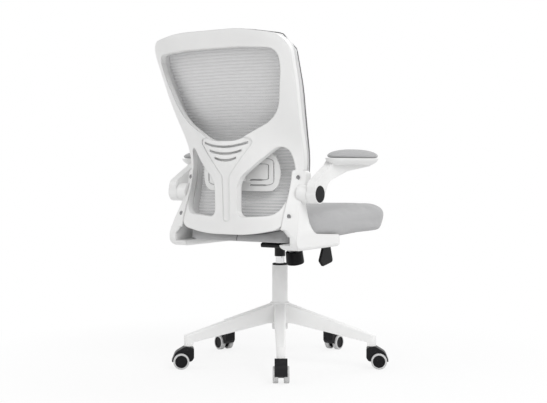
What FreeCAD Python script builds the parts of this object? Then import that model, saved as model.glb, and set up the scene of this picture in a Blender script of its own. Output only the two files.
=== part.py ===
# Office task chair: five-legged base on twin-wheel casters, gas lift, rocking mechanism, padded seat,
# mesh back on a forked spine, sliding lumbar pad and flip-up arms.
# Millimetres. Origin on the floor under the column, +Z up, the sitter faces -Y and +X is the sitter's left.
import FreeCAD, Part
import math
import os

Vector = FreeCAD.Vector

# Fits
RUNNING = 0.05
CLEAR = 0.3

# Base star
LEG_COUNT = 5
LEG_TURN = 52.5
STEM_CIRCLE = 305.0
HUB_RADIUS = 31.0
HUB_BOTTOM = 133.0
HUB_TOP = 198.0
LEG_ROOT_WIDTH = 38.0
LEG_TIP_WIDTH = 26.0
LEG_TIP_HEIGHT = 21.0
LEG_WALL = 3.5
LEG_EDGE_ROUND = 5.0
LEG_RIBS = 4
SOCKET_BOTTOM = 71.0
SOCKET_SKIRT = 12.0

# Casters
WHEEL_RADIUS = 25.0
WHEEL_WIDTH = 16.4
WHEEL_GAP = 16.6
TYRE_DEPTH = 5.5
TYRE_SHOULDER = 2.0
CASTER_TRAIL = 22.0
CASTER_TURN = -12.0
AXLE_RADIUS = 4.0
STEM_RADIUS = 5.5
STEM_IN_LEG = 28.0
STEM_IN_HOOD = 30.0
HOOD_WIDTH = 38.0
HOOD_WALL = 3.4
HOOD_WHEEL_GAP = 1.4
HOOD_BOSS_REACH = 18.0

# Column and gas lift
TUBE_RADIUS = 25.0
TUBE_WALL = 2.4
TUBE_BOTTOM = 112.0
TUBE_TOP = 319.0
TUBE_FLOOR = 3.0
BUSH_LENGTH = 84.0
BUSH_FLANGE = 5.4
CYLINDER_RADIUS = 14.0
CYLINDER_BORE = 11.0
CYLINDER_BOTTOM = 165.0
CYLINDER_TOP = 388.0
CYLINDER_TOP_RADIUS = 13.0
CYLINDER_END = 16.0
GLAND_THICK = 6.0
ROD_RADIUS = 5.0
ROD_NECK_RADIUS = 4.0
PISTON_HEIGHT = 295.0
PISTON_LENGTH = 10.0
BEARING_RADIUS = 14.0
BEARING_HEIGHT = 6.0
CLIP_RADIUS = 8.0
VALVE_RADIUS = 4.0
VALVE_STANDS = 5.0

# Rocking mechanism
HOUSING_HALF_WIDTH = 42.0
HOUSING_FRONT = -118.0
HOUSING_REAR = 48.0
HOUSING_FLOOR = 376.0
HOUSING_WALL_TOP = 404.0
HOUSING_REAR_TOP = 388.0
HOUSING_SHEET = 2.8
TAPER_SOCKET_RADIUS = 17.0
TAPER_SOCKET_BOTTOM = 347.0
TILT_PIN_RADIUS = 5.0
TILT_PIN_Y = -32.0
TILT_PIN_Z = 392.0
PLATE_SHEET = 3.0
EAR_SHEET = 3.0
KNOB_LEAN = 12.0
KNOB_BASE_Y = -92.7
KNOB_BASE_Z = 313.8
KNOB_RADIUS = 30.0
KNOB_TOP_RADIUS = 28.5
KNOB_LENGTH = 44.0
KNOB_WALL = 3.5
KNOB_FLOOR = 8.0
TENSION_BOLT_RADIUS = 5.0
TENSION_HEAD_RADIUS = 9.0
TENSION_HEAD = 6.0
SPRING_RADIUS = 17.0
SPRING_WIRE = 2.4
SPRING_TURNS = 5
LEVER_RADIUS = 3.0
LEVER_INNER_END = 8.0
LEVER_GAP = 0.4
LEVER_BALL = 6.0
PADDLE_X = -172.0
PADDLE_THICK = 9.0

# Seat
SEAT_HEIGHT = 419.6
SEAT_LEAN = 3.06
SEAT_FRONT = 284.0
SEAT_REAR = 244.0
SEAT_FRONT_HALF = 252.0
SEAT_MIDDLE_HALF = 238.0
SEAT_REAR_HALF = 203.0
SEAT_MIDDLE_Y = 20.0
SEAT_BOARD = 12.0
SEAT_BOARD_INSET = 26.0
SEAT_THICK = 82.0
SEAT_BOLT_RADIUS = 3.0
SEAT_BOLT_HEAD = 6.0
SEAT_BOLT_HEAD_HEIGHT = 4.0
PLATE_BOLT_X = 82.0
PLATE_BOLT_FRONT = -95.0
PLATE_BOLT_REAR = 105.0
FOOT_BOLT_X = 188.0
FOOT_BOLT_Y = (48.0, 84.0, 120.0)

# Back: sections of the frame's middle surface as height, then depth at the stations across
BACK_STATIONS = (0.0, 100.0, 190.0, 255.0)
BACK_SECTIONS = (
    (340.0, 270.0, 268.0, 262.0, 256.0),
    (420.0, 274.0, 270.0, 258.0, 248.0),
    (510.0, 277.0, 268.0, 232.0, 204.0),
    (600.0, 280.0, 262.0, 196.0, 166.0),
    (690.0, 287.0, 268.0, 202.0, 170.0),
    (780.0, 296.0, 286.0, 248.0, 204.0),
    (870.0, 322.0, 315.0, 295.0, 246.0),
    (960.0, 352.0, 347.0, 332.0, 291.0),
    (1060.0, 374.0, 369.0, 356.0, 326.0),
)
# Sections of the mesh as height, then depth in the middle and at the outermost station
MESH_SECTIONS = (
    (340.0, 244.0, 232.0),
    (420.0, 246.0, 228.0),
    (510.0, 216.0, 188.0),
    (600.0, 190.0, 150.0),
    (690.0, 196.0, 153.0),
    (780.0, 236.0, 190.0),
    (870.0, 286.0, 232.0),
    (960.0, 328.0, 276.0),
    (1060.0, 352.0, 306.0),
)
FRAME_FRONT = -8.0
FRAME_REAR = 14.0
FRAME_SKIN = 6.0
FRAME_RIM = 4.5
BACK_BOTTOM = 432.0
BACK_TOP = 1033.0
BACK_LOW_HALF = 211.0
BACK_WAIST_HALF = 217.0
BACK_WAIST = 720.0
BACK_TOP_HALF = 250.0
STEM_HALF = 42.0
FORK_RECESS = 2.5
SLOT_HEIGHT = 6.5
RING_WIDTH = 26.0
MESH_THICK = 2.4
MESH_INSET = 4.0
SCREW_X = 202.0
SCREW_LOW = 490.0
SCREW_HIGH = 604.0
SCREW_RADIUS = 3.0
SCREW_HEAD_RADIUS = 5.5
SCREW_HEAD = 2.5
SCREW_LENGTH = 16.0

# Lumbar pad
LUMBAR_HALF = 146.0
LUMBAR_BOTTOM = 562.0
LUMBAR_TOP = 678.0
LUMBAR_Y = 216.0
LUMBAR_THICK = 6.0
LUMBAR_EDGE_FORWARD = 12.0
LUMBAR_SLOT = 5.0
SLIDER_HALF = 26.0
RAIL_HALF = 18.0
RAIL_STANDS = 9.0
RAIL_BELOW = 14.0
RAIL_LENGTH = 102.0
SLIDER_HEIGHT = 56.0

# Arm brackets and arms
BRACKET_INNER = 186.0
BRACKET_OUTER_TOP = 222.0
BRACKET_OUTER_LOW = 238.0
BRACKET_FOOT_INNER = 176.0
BRACKET_TOP = 626.0
BRACKET_BOTTOM = 388.0
BRACKET_WALL = 4.5
BRACKET_LIP = 233.0
BRACKET_SIDE = 214.0
BRACKET_FRONT = 186.0
FOOT_FRONT = 24.0
FOOT_TOP = 427.0
FOOT_THICK = 8.0
ARM_Y = 200.0
ARM_Z = 555.0
HUB_R = 28.0
HUB_SPLIT = 244.0
HUB_END = 276.0
HUB_PLAY = 0.4
ARM_PIN_RADIUS = 6.0
CAP_RADIUS = 25.0
CAP_DEPTH = 3.0
PAD_X = 274.5
PAD_Y = 8.0
PAD_BOTTOM = 662.0
PAD_THICK = 28.0
PAD_HALF_LENGTH = 137.0
PAD_HALF_WIDTH = 39.0
PAD_END_RADIUS = 33.0
PAD_RIM = 6.0
PAD_UNDERCUT = 3.0
# how far the pad's outline has drawn in at its crown, along its length and across
PAD_CROWN_ENDS = 98.0
PAD_CROWN_SIDES = 27.0
DISH_DEPTH = 22.0


def in_side(x):
    """Maps (y, z) to space on the plane at x."""
    return lambda y, z: Vector(x, y, z)


def in_front(y):
    """Maps (x, z) to space on the plane at y."""
    return lambda x, z: Vector(x, y, z)


def in_plan(z):
    """Maps (x, y) to space on the plane at z."""
    return lambda x, y: Vector(x, y, z)


def rounded_loop(corners, place):
    """Closed wire of lines and arcs round (a, b, radius) corners."""
    points = [Vector(a, b, 0) for a, b, radius in corners]
    rounds = []
    for index, (a, b, radius) in enumerate(corners):
        here = points[index]
        back = points[index - 1] - here
        ahead = points[(index + 1) % len(points)] - here
        half = back.getAngle(ahead) / 2
        reach = min(radius / math.tan(half), 0.49 * back.Length, 0.49 * ahead.Length)
        back.normalize()
        ahead.normalize()
        middle = (back + ahead).normalize()
        swing = reach * math.tan(half)
        tip = here + middle * (swing / math.sin(half) - swing)
        rounds.append((here + back * reach, tip, here + ahead * reach))
    edges = []
    for index, (start, tip, end) in enumerate(rounds):
        if (end - start).Length > 1e-6:
            arc = Part.Arc(place(start.x, start.y), place(tip.x, tip.y), place(end.x, end.y))
            edges.append(arc.toShape())
        following = rounds[(index + 1) % len(rounds)][0]
        if (following - end).Length > 1e-6:
            edges.append(Part.makeLine(place(end.x, end.y), place(following.x, following.y)))
    return Part.Wire(edges)


def prism(corners, place, along):
    """Solid made by pushing a rounded outline along a vector."""
    return Part.Face(rounded_loop(corners, place)).extrude(along)


def mirrored_pairs(corners):
    """Outline corners of one side followed by their mirror images across x = 0."""
    return list(corners) + [(-a, b, radius) for a, b, radius in reversed(corners)]


def box(low, high):
    """Axis-aligned block between two corners."""
    size = [b - a for a, b in zip(low, high)]
    return Part.makeBox(size[0], size[1], size[2], Vector(*low))


def cylinder(start, axis, radius, length):
    """Round bar from a start point along an axis."""
    return Part.makeCylinder(radius, length, Vector(*start), Vector(*axis))


def ring(outer, inner, bottom, top):
    """Upright ring about the column axis."""
    body = cylinder((0, 0, bottom), (0, 0, 1), outer, top - bottom)
    return body.cut(cylinder((0, 0, bottom - 1), (0, 0, 1), inner, top - bottom + 2))


def turned(profile):
    """Solid of revolution about the column axis from (radius, height) points."""
    points = [Vector(r, 0, z) for r, z in profile]
    face = Part.Face(Part.makePolygon(points + points[:1]))
    return face.revolve(Vector(0, 0, 0), Vector(0, 0, 1), 360)


def mirror(shape):
    """Mirror image across the chair's middle plane."""
    return shape.mirror(Vector(0, 0, 0), Vector(1, 0, 0))


def leg_angle(index):
    """Direction of a leg in degrees from +X."""
    return LEG_TURN + index * 360.0 / LEG_COUNT


def around_base(shape, index):
    """Turns a shape drawn along +X onto a leg."""
    copy = shape.copy()
    copy.rotate(Vector(0, 0, 0), Vector(0, 0, 1), leg_angle(index))
    return copy


def on_seat(shape):
    """Places a shape drawn on a level seat at its height and lean."""
    copy = shape.copy()
    copy.rotate(Vector(0, 0, 0), Vector(1, 0, 0), -SEAT_LEAN)
    copy.translate(Vector(0, 0, SEAT_HEIGHT))
    return copy


def seat_plane(y):
    """Height of the seat's underside at a depth."""
    return SEAT_HEIGHT - y * math.tan(math.radians(SEAT_LEAN))


def leg_tip():
    """Distance from the column to the outer end of a leg."""
    return STEM_CIRCLE + LEG_TIP_WIDTH / 2


def leg_top_height(distance):
    """Height of a leg's sloping top."""
    share = (distance - HUB_RADIUS / 2) / (leg_tip() - HUB_RADIUS / 2)
    tip_top = SOCKET_BOTTOM + SOCKET_SKIRT + LEG_TIP_HEIGHT
    return HUB_TOP + share * (tip_top - HUB_TOP)


def leg_half_width(distance):
    """Half the width of a leg, which narrows evenly from the column to the stem."""
    share = distance / STEM_CIRCLE
    return (LEG_ROOT_WIDTH + share * (LEG_TIP_WIDTH - LEG_ROOT_WIDTH)) / 2


def leg_section(distance):
    """Cross-section of a leg with rounded upper edges, down to the floor."""
    half = leg_half_width(distance)
    top = leg_top_height(distance)
    corners = [
        (-half, 0, 0),
        (half, 0, 0),
        (half, top, LEG_EDGE_ROUND),
        (-half, top, LEG_EDGE_ROUND),
    ]
    return rounded_loop(corners, lambda a, b: Vector(distance, a, b))


def base_leg():
    """One hollow leg along +X, open below, with cross ribs and a rounded caster socket."""
    root = HUB_RADIUS / 2
    beyond = leg_tip() + LEG_WALL
    wide = LEG_ROOT_WIDTH
    skirt = STEM_CIRCLE - LEG_TIP_WIDTH / 2
    side = [
        (root, HUB_TOP + wide, 0),
        (beyond, HUB_TOP + wide, 0),
        (beyond, SOCKET_BOTTOM, 0),
        (skirt, SOCKET_BOTTOM, 0),
        (skirt, SOCKET_BOTTOM + SOCKET_SKIRT, 4),
        (HUB_RADIUS + 14, HUB_BOTTOM, 12),
        (root, HUB_BOTTOM, 0),
    ]
    beam = Part.makeLoft([leg_section(root), leg_section(beyond)], True, True)
    beam = beam.common(prism(side, lambda a, b: Vector(a, -wide, b), Vector(0, 2 * wide, 0)))
    post = cylinder((STEM_CIRCLE, 0, 0), (0, 0, 1), leg_half_width(STEM_CIRCLE), leg_top_height(STEM_CIRCLE))
    rim = [e for e in post.Edges if e.BoundBox.ZMin > SOCKET_BOTTOM]
    post = post.makeFillet(LEG_EDGE_ROUND, rim)
    beam = beam.common(box((0, -wide, 0), (STEM_CIRCLE, wide, HUB_TOP + wide)).fuse(post))
    return beam.cut(leg_hollow(skirt))


def leg_hollow(skirt):
    """Space under one leg, left open between its cross ribs."""
    start = HUB_RADIUS + LEG_WALL
    end = skirt - LEG_WALL
    roof = [
        (start, leg_top_height(start) - 2 * LEG_WALL, 6),
        (end, leg_top_height(end) - 2 * LEG_WALL, 4),
        (end, 0, 0),
        (start, 0, 0),
    ]
    wide = LEG_ROOT_WIDTH
    hollow = prism(roof, lambda a, b: Vector(a, -wide, b), Vector(0, 2 * wide, 0))
    plan = [
        (0, LEG_WALL - LEG_ROOT_WIDTH / 2, 0),
        (leg_tip(), LEG_WALL - LEG_TIP_WIDTH / 2, 0),
        (leg_tip(), LEG_TIP_WIDTH / 2 - LEG_WALL, 0),
        (0, LEG_ROOT_WIDTH / 2 - LEG_WALL, 0),
    ]
    hollow = hollow.common(prism(plan, in_plan(0), Vector(0, 0, HUB_TOP)))
    pitch = (end - start) / (LEG_RIBS + 1)
    for index in range(1, LEG_RIBS + 1):
        at = start + index * pitch
        hollow = hollow.cut(box((at, -wide, 0), (at + LEG_WALL, wide, HUB_TOP)))
    return hollow


def make_base():
    """Base star with its hub, legs and caster sockets."""
    leg = base_leg()
    star = ring(HUB_RADIUS, TUBE_RADIUS, HUB_BOTTOM, HUB_TOP)
    for index in range(LEG_COUNT):
        star = star.fuse(around_base(leg, index))
    star = star.cut(cylinder((0, 0, 0), (0, 0, 1), TUBE_RADIUS, HUB_TOP + 50))
    socket = cylinder((STEM_CIRCLE, 0, SOCKET_BOTTOM - 1), (0, 0, 1), STEM_RADIUS, STEM_IN_LEG + 1)
    for index in range(LEG_COUNT):
        star = star.cut(around_base(socket, index))
    return star.removeSplitter()


def make_caster_stems():
    """Five plain steel stems pressed into the legs' sockets."""
    bar = cylinder((STEM_CIRCLE, 0, SOCKET_BOTTOM - STEM_IN_HOOD), (0, 0, 1), STEM_RADIUS,
                   STEM_IN_HOOD + STEM_IN_LEG)
    return Part.Compound([around_base(bar, index) for index in range(LEG_COUNT)])


def on_caster(shape, index):
    """Turns a caster drawn with its stem at the origin and its wheels along +X into place."""
    copy = shape.copy()
    copy.rotate(Vector(0, 0, 0), Vector(0, 0, 1), leg_angle(index) + CASTER_TURN * caster_side(index))
    angle = math.radians(leg_angle(index))
    copy.translate(Vector(STEM_CIRCLE * math.cos(angle), STEM_CIRCLE * math.sin(angle), 0))
    return copy


def caster_side(index):
    """Way in which a parked caster stands out of line with its leg: one way, the other or in line."""
    return {0: 1, 2: -1}.get(index, 0)


def caster_hood():
    """Fender over both wheels, web between them and boss for the stem."""
    hood_radius = WHEEL_RADIUS + HOOD_WHEEL_GAP + HOOD_WALL
    top = SOCKET_BOTTOM - CLEAR
    boss = -HOOD_BOSS_REACH
    far = CASTER_TRAIL + hood_radius
    side = [
        (boss, top - 5, 5),
        (STEM_RADIUS + 6, top, 12),
        (CASTER_TRAIL + hood_radius * 0.62, WHEEL_RADIUS + hood_radius * 0.96, 26),
        (far, WHEEL_RADIUS, 3),
        (far - HOOD_WALL, WHEEL_RADIUS - 2, 1),
        (CASTER_TRAIL + 6, WHEEL_RADIUS - 9, 8),
        (CASTER_TRAIL - 8, WHEEL_RADIUS - 9, 8),
        (boss + 6, WHEEL_RADIUS + 1, 6),
        (boss, WHEEL_RADIUS + 10, 5),
    ]
    hood = prism(side, lambda a, b: Vector(a, -HOOD_WIDTH / 2, b), Vector(0, HOOD_WIDTH, 0))
    web = WHEEL_GAP / 2 - CLEAR
    for way in (1, -1):
        well = cylinder((CASTER_TRAIL, way * web, WHEEL_RADIUS), (0, way, 0),
                        WHEEL_RADIUS + HOOD_WHEEL_GAP, HOOD_WIDTH)
        hood = hood.cut(well)
    hood = hood.cut(cylinder((0, 0, 0), (0, 0, 1), STEM_RADIUS + RUNNING, top + 1))
    return hood.cut(cylinder((CASTER_TRAIL, -HOOD_WIDTH, WHEEL_RADIUS), (0, 1, 0),
                             AXLE_RADIUS + RUNNING, 2 * HOOD_WIDTH))


def caster_axle():
    """Steel axle pressed into both wheels."""
    length = WHEEL_GAP + 1.5 * WHEEL_WIDTH
    return cylinder((CASTER_TRAIL, -length / 2, WHEEL_RADIUS), (0, 1, 0), AXLE_RADIUS, length)


def caster_disc(outer, inner, start, width, way):
    """Flat ring of a wheel on one side of a caster."""
    at = (CASTER_TRAIL, way * start, WHEEL_RADIUS)
    disc = cylinder(at, (0, way, 0), outer, width)
    if inner:
        disc = disc.cut(cylinder(at, (0, way, 0), inner, width))
    return disc


def caster_wheels():
    """Two dished wheel cores with hubs for the axle."""
    core = WHEEL_RADIUS - TYRE_DEPTH
    start = WHEEL_GAP / 2
    axle_end = 0.75 * WHEEL_WIDTH
    cores = []
    for way in (1, -1):
        disc = caster_disc(core, 0, start, WHEEL_WIDTH, way)
        disc = disc.cut(caster_disc(core - 3, AXLE_RADIUS + 4, start - 1, WHEEL_WIDTH * 0.5 + 1, way))
        disc = disc.cut(caster_disc(core - 4, 0, start + WHEEL_WIDTH - 1.5, 2, way))
        cores.append(disc.cut(caster_disc(AXLE_RADIUS, 0, start - 1, axle_end + 1, way)))
    return Part.Compound(cores)


def caster_tyres():
    """Two soft tyres with bevelled shoulders."""
    tyres = []
    for way in (1, -1):
        tyre = caster_disc(WHEEL_RADIUS, WHEEL_RADIUS - TYRE_DEPTH, WHEEL_GAP / 2, WHEEL_WIDTH, way)
        rims = [e for e in tyre.Edges if abs(edge_radius(e) - WHEEL_RADIUS) < 0.1]
        tyres.append(tyre.makeChamfer(TYRE_SHOULDER, rims))
    return Part.Compound(tyres)


def edge_radius(edge):
    """Radius of a circular edge, or zero for any other."""
    return edge.Curve.Radius if isinstance(edge.Curve, Part.Circle) else 0.0


def make_column_tube():
    """Outer tube of the gas lift with a floor that carries the swivel bearing."""
    tube = ring(TUBE_RADIUS, TUBE_RADIUS - TUBE_WALL, TUBE_BOTTOM, TUBE_TOP)
    return tube.fuse(ring(TUBE_RADIUS, ROD_RADIUS, TUBE_BOTTOM, TUBE_BOTTOM + TUBE_FLOOR)).removeSplitter()


def make_column_bush():
    """Guide bush in the tube's mouth, with the dark ring that shows above it."""
    inside = TUBE_RADIUS - TUBE_WALL
    bore = CYLINDER_RADIUS + RUNNING
    return turned([
        (bore, TUBE_TOP - BUSH_LENGTH),
        (inside, TUBE_TOP - BUSH_LENGTH),
        (inside, TUBE_TOP),
        (TUBE_RADIUS - 1.5, TUBE_TOP),
        (TUBE_RADIUS - 0.5, TUBE_TOP + BUSH_FLANGE - 1.5),
        (TUBE_RADIUS - 2.5, TUBE_TOP + BUSH_FLANGE),
        (bore, TUBE_TOP + BUSH_FLANGE),
    ])


def make_gas_cylinder():
    """Pressure tube with a tapered top, gland and valve bore."""
    return turned([
        (ROD_RADIUS + RUNNING, CYLINDER_BOTTOM),
        (CYLINDER_RADIUS - 1, CYLINDER_BOTTOM),
        (CYLINDER_RADIUS, CYLINDER_BOTTOM + 1),
        (CYLINDER_RADIUS, TAPER_SOCKET_BOTTOM),
        (CYLINDER_TOP_RADIUS, CYLINDER_TOP),
        (VALVE_RADIUS + RUNNING, CYLINDER_TOP),
        (VALVE_RADIUS + RUNNING, CYLINDER_TOP - CYLINDER_END),
        (CYLINDER_BORE, CYLINDER_TOP - CYLINDER_END),
        (CYLINDER_BORE, CYLINDER_BOTTOM + GLAND_THICK),
        (ROD_RADIUS + RUNNING, CYLINDER_BOTTOM + GLAND_THICK),
    ])


def bearing_top():
    """Height of the swivel bearing's upper face."""
    return TUBE_BOTTOM + TUBE_FLOOR + BEARING_HEIGHT


def make_piston_rod():
    """Piston rod standing on the swivel bearing."""
    collar = bearing_top()
    return turned([
        (0, TUBE_BOTTOM - 4),
        (ROD_NECK_RADIUS, TUBE_BOTTOM - 4),
        (ROD_NECK_RADIUS, collar),
        (CLIP_RADIUS, collar),
        (CLIP_RADIUS, collar + 4),
        (ROD_RADIUS, collar + 4),
        (ROD_RADIUS, PISTON_HEIGHT - PISTON_LENGTH),
        (CYLINDER_BORE - RUNNING, PISTON_HEIGHT - PISTON_LENGTH),
        (CYLINDER_BORE - RUNNING, PISTON_HEIGHT),
        (0, PISTON_HEIGHT),
    ])


def make_swivel_bearing():
    """Thrust washer on the tube's floor and the clip below it."""
    floor = TUBE_BOTTOM + TUBE_FLOOR
    washer = ring(BEARING_RADIUS, ROD_NECK_RADIUS, floor, bearing_top())
    clip = ring(CLIP_RADIUS, ROD_NECK_RADIUS, TUBE_BOTTOM - CLEAR - 2.5, TUBE_BOTTOM - CLEAR)
    return Part.Compound([washer, clip])


def make_gas_valve():
    """Release button in the top of the gas spring."""
    start = CYLINDER_TOP - CYLINDER_END + 2
    return cylinder((0, 0, start), (0, 0, 1), VALVE_RADIUS, CYLINDER_TOP + VALVE_STANDS - start)


def lever_height():
    """Height of the lever rod over the release button."""
    return CYLINDER_TOP + VALVE_STANDS + LEVER_GAP + LEVER_RADIUS


def knob_point(along):
    """Point on the leaning axis of the tension knob, measured from its base."""
    lean = math.radians(KNOB_LEAN)
    return Vector(0, KNOB_BASE_Y + along * math.sin(lean), KNOB_BASE_Z + along * math.cos(lean))


def on_knob(shape):
    """Places a shape drawn up the column axis on the knob's leaning axis."""
    copy = shape.copy()
    copy.rotate(Vector(0, 0, 0), Vector(1, 0, 0), -KNOB_LEAN)
    copy.translate(knob_point(0))
    return copy


def knob_to_floor():
    """Distance along the knob's axis from its base to the housing's floor."""
    return (HOUSING_FLOOR - KNOB_BASE_Z) / math.cos(math.radians(KNOB_LEAN))


def make_tilt_housing():
    """Pressed tray with the taper socket, the pin and lever holes and the tension slot."""
    half = HOUSING_HALF_WIDTH
    sheet = HOUSING_SHEET
    side = [
        (HOUSING_FRONT, HOUSING_WALL_TOP, 4),
        (HOUSING_FRONT, HOUSING_FLOOR, 8),
        (HOUSING_REAR, HOUSING_FLOOR, 6),
        (HOUSING_REAR, HOUSING_REAR_TOP, 3),
        (LEVER_BALL + 6, HOUSING_WALL_TOP, 8),
    ]
    tray = prism(side, in_side(-half), Vector(2 * half, 0, 0))
    room = [
        (HOUSING_FRONT + sheet, HOUSING_WALL_TOP + 40, 0),
        (HOUSING_FRONT + sheet, HOUSING_FLOOR + sheet, 6),
        (HOUSING_REAR - sheet, HOUSING_FLOOR + sheet, 4),
        (HOUSING_REAR - sheet, HOUSING_WALL_TOP + 40, 0),
    ]
    tray = tray.cut(prism(room, in_side(sheet - half), Vector(2 * (half - sheet), 0, 0)))
    socket_top = CYLINDER_TOP - 2
    tray = tray.fuse(cylinder((0, 0, TAPER_SOCKET_BOTTOM), (0, 0, 1), TAPER_SOCKET_RADIUS,
                              socket_top - TAPER_SOCKET_BOTTOM))
    tray = tray.cut(turned([
        (0, TAPER_SOCKET_BOTTOM - 1),
        (CYLINDER_RADIUS, TAPER_SOCKET_BOTTOM - 1),
        (CYLINDER_RADIUS, TAPER_SOCKET_BOTTOM),
        (CYLINDER_TOP_RADIUS, CYLINDER_TOP),
        (0, CYLINDER_TOP),
    ]))
    slot_half = TENSION_BOLT_RADIUS + 1.5
    crossing = knob_point(knob_to_floor()).y
    slot = [
        (-slot_half, crossing - slot_half - 12, slot_half),
        (slot_half, crossing - slot_half - 12, slot_half),
        (slot_half, crossing + slot_half + 2, slot_half),
        (-slot_half, crossing + slot_half + 2, slot_half),
    ]
    tray = tray.cut(prism(slot, in_plan(HOUSING_FLOOR - 1), Vector(0, 0, 2 * sheet)))
    tray = tray.cut(cylinder((-2 * half, TILT_PIN_Y, TILT_PIN_Z), (1, 0, 0), TILT_PIN_RADIUS, 4 * half))
    return tray.cut(cylinder((-half - 1, 0, lever_height()), (1, 0, 0), LEVER_BALL + 0.2, sheet + 2))


def ear_start():
    """Inner face of the seat plate's ears, outside the housing."""
    return HOUSING_HALF_WIDTH + 2.0


def make_tilt_pin():
    """Cross pin on which the seat plate rocks, with a head on each end."""
    reach = ear_start() + EAR_SHEET + CLEAR
    bar = cylinder((-reach - 2, TILT_PIN_Y, TILT_PIN_Z), (1, 0, 0), TILT_PIN_RADIUS, 2 * reach + 4)
    for way in (1, -1):
        end = (way * reach, TILT_PIN_Y, TILT_PIN_Z)
        bar = bar.fuse(cylinder(end, (way, 0, 0), TILT_PIN_RADIUS + 2.5, 2))
    return bar.removeSplitter()


def make_seat_plate():
    """Butterfly plate under the seat board, with ears on the tilt pin."""
    reach = PLATE_BOLT_X + 14
    waist = ear_start() + EAR_SHEET + 5
    front = PLATE_BOLT_FRONT
    rear = PLATE_BOLT_REAR
    outline = [
        (waist, front - 6, 10),
        (reach, front - 14, 12),
        (reach, front + 16, 12),
        (waist, front + 34, 20),
        (waist, rear - 34, 20),
        (reach, rear - 16, 12),
        (reach, rear + 14, 12),
        (waist, rear + 6, 10),
    ]
    plate = prism(mirrored_pairs(outline), in_plan(-PLATE_SHEET), Vector(0, 0, PLATE_SHEET))
    for x, y in plate_bolts():
        plate = plate.cut(cylinder((x, y, -PLATE_SHEET - 1), (0, 0, 1), SEAT_BOLT_RADIUS, PLATE_SHEET + 2))
    plate = on_seat(plate)
    under = PLATE_SHEET / 2
    ear = [
        (TILT_PIN_Y - 30, seat_plane(TILT_PIN_Y - 30) - under, 0),
        (TILT_PIN_Y + 30, seat_plane(TILT_PIN_Y + 30) - under, 0),
        (TILT_PIN_Y + 9, TILT_PIN_Z - 11, 10),
        (TILT_PIN_Y - 9, TILT_PIN_Z - 11, 10),
    ]
    for start in (ear_start(), -ear_start() - EAR_SHEET):
        plate = plate.fuse(prism(ear, in_side(start), Vector(EAR_SHEET, 0, 0)))
    bore = TILT_PIN_RADIUS + RUNNING
    hole = cylinder((-reach, TILT_PIN_Y, TILT_PIN_Z), (1, 0, 0), bore, 2 * reach)
    return plate.cut(hole).removeSplitter()


def plate_bolts():
    """Places of the four bolts that hold the seat plate."""
    return [(x, y) for x in (-PLATE_BOLT_X, PLATE_BOLT_X) for y in (PLATE_BOLT_FRONT, PLATE_BOLT_REAR)]


def foot_bolts():
    """Places of the bolts that hold the arm brackets' feet."""
    return [(x, y) for x in (-FOOT_BOLT_X, FOOT_BOLT_X) for y in FOOT_BOLT_Y]


def make_tension_bolt():
    """Bolt that hangs from the seat plate through the housing and the spring into the knob."""
    reach = (SEAT_HEIGHT + 20 - KNOB_BASE_Z) / math.cos(math.radians(KNOB_LEAN))
    bolt = cylinder((0, 0, KNOB_FLOOR / 2), (0, 0, 1), TENSION_BOLT_RADIUS, reach)
    head_at = (seat_plane(KNOB_BASE_Y + 20) - PLATE_SHEET - KNOB_BASE_Z) / math.cos(math.radians(KNOB_LEAN))
    head = cylinder((0, 0, head_at - TENSION_HEAD - 3), (0, 0, 1), TENSION_HEAD_RADIUS, 40)
    bolt = on_knob(bolt.fuse(head))
    above = on_seat(box((-200, -300, -PLATE_SHEET), (200, 300, 200)))
    return bolt.cut(above).removeSplitter()


def make_tension_knob():
    """Domed cup that turns on the tension bolt and holds the spring."""
    inner = KNOB_TOP_RADIUS - KNOB_WALL
    bore = TENSION_BOLT_RADIUS + RUNNING
    cup = turned([
        (bore, -1.0),
        (KNOB_RADIUS * 0.72, 0.0),
        (KNOB_RADIUS * 0.94, 2.2),
        (KNOB_RADIUS, 6.0),
        (KNOB_TOP_RADIUS, KNOB_LENGTH - 1.5),
        (KNOB_TOP_RADIUS - 1.5, KNOB_LENGTH),
        (inner, KNOB_LENGTH),
        (inner, KNOB_FLOOR),
        (bore, KNOB_FLOOR),
    ])
    return on_knob(cup)


def make_tension_spring():
    """Coil between the knob's floor and the housing, one unbroken tube of quarter-turn arcs."""
    low = KNOB_FLOOR + SPRING_WIRE + CLEAR
    lean_room = SPRING_RADIUS * math.tan(math.radians(KNOB_LEAN)) + SPRING_WIRE
    high = knob_to_floor() - lean_room - SPRING_WIRE - CLEAR
    quarters = 4 * SPRING_TURNS

    def at(step):
        angle = step * math.pi / 2
        climb = low + (high - low) * step / quarters
        return Vector(SPRING_RADIUS * math.cos(angle), SPRING_RADIUS * math.sin(angle), climb)

    arcs = [Part.Arc(at(q), at(q + 0.5), at(q + 1)).toShape() for q in range(quarters)]
    section = Part.Wire(Part.makeCircle(SPRING_WIRE, at(0), Vector(0, 1, 0)))
    coil = Part.Wire(arcs).makePipeShell([section], True, False)
    pitch = (high - low) / SPRING_TURNS
    print("tension spring, gap between turns:", round(pitch - 2 * SPRING_WIRE, 2))
    return on_knob(coil)


def wall_middle():
    """Middle of the housing wall that carries the lever."""
    return HOUSING_SHEET / 2 - HOUSING_HALF_WIDTH


def make_lever_bush():
    """Ball bush in the housing wall through which the lever rod slides."""
    ball = Part.makeSphere(LEVER_BALL, Vector(wall_middle(), 0, lever_height()))
    return ball.cut(cylinder((-100, 0, lever_height()), (1, 0, 0), LEVER_RADIUS + RUNNING, 200))


def make_lever_rod():
    """Steel rod from over the release button to the paddle."""
    outer = PADDLE_X - PADDLE_THICK / 4
    return cylinder((outer, 0, lever_height()), (1, 0, 0), LEVER_RADIUS, LEVER_INNER_END - outer)


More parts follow.
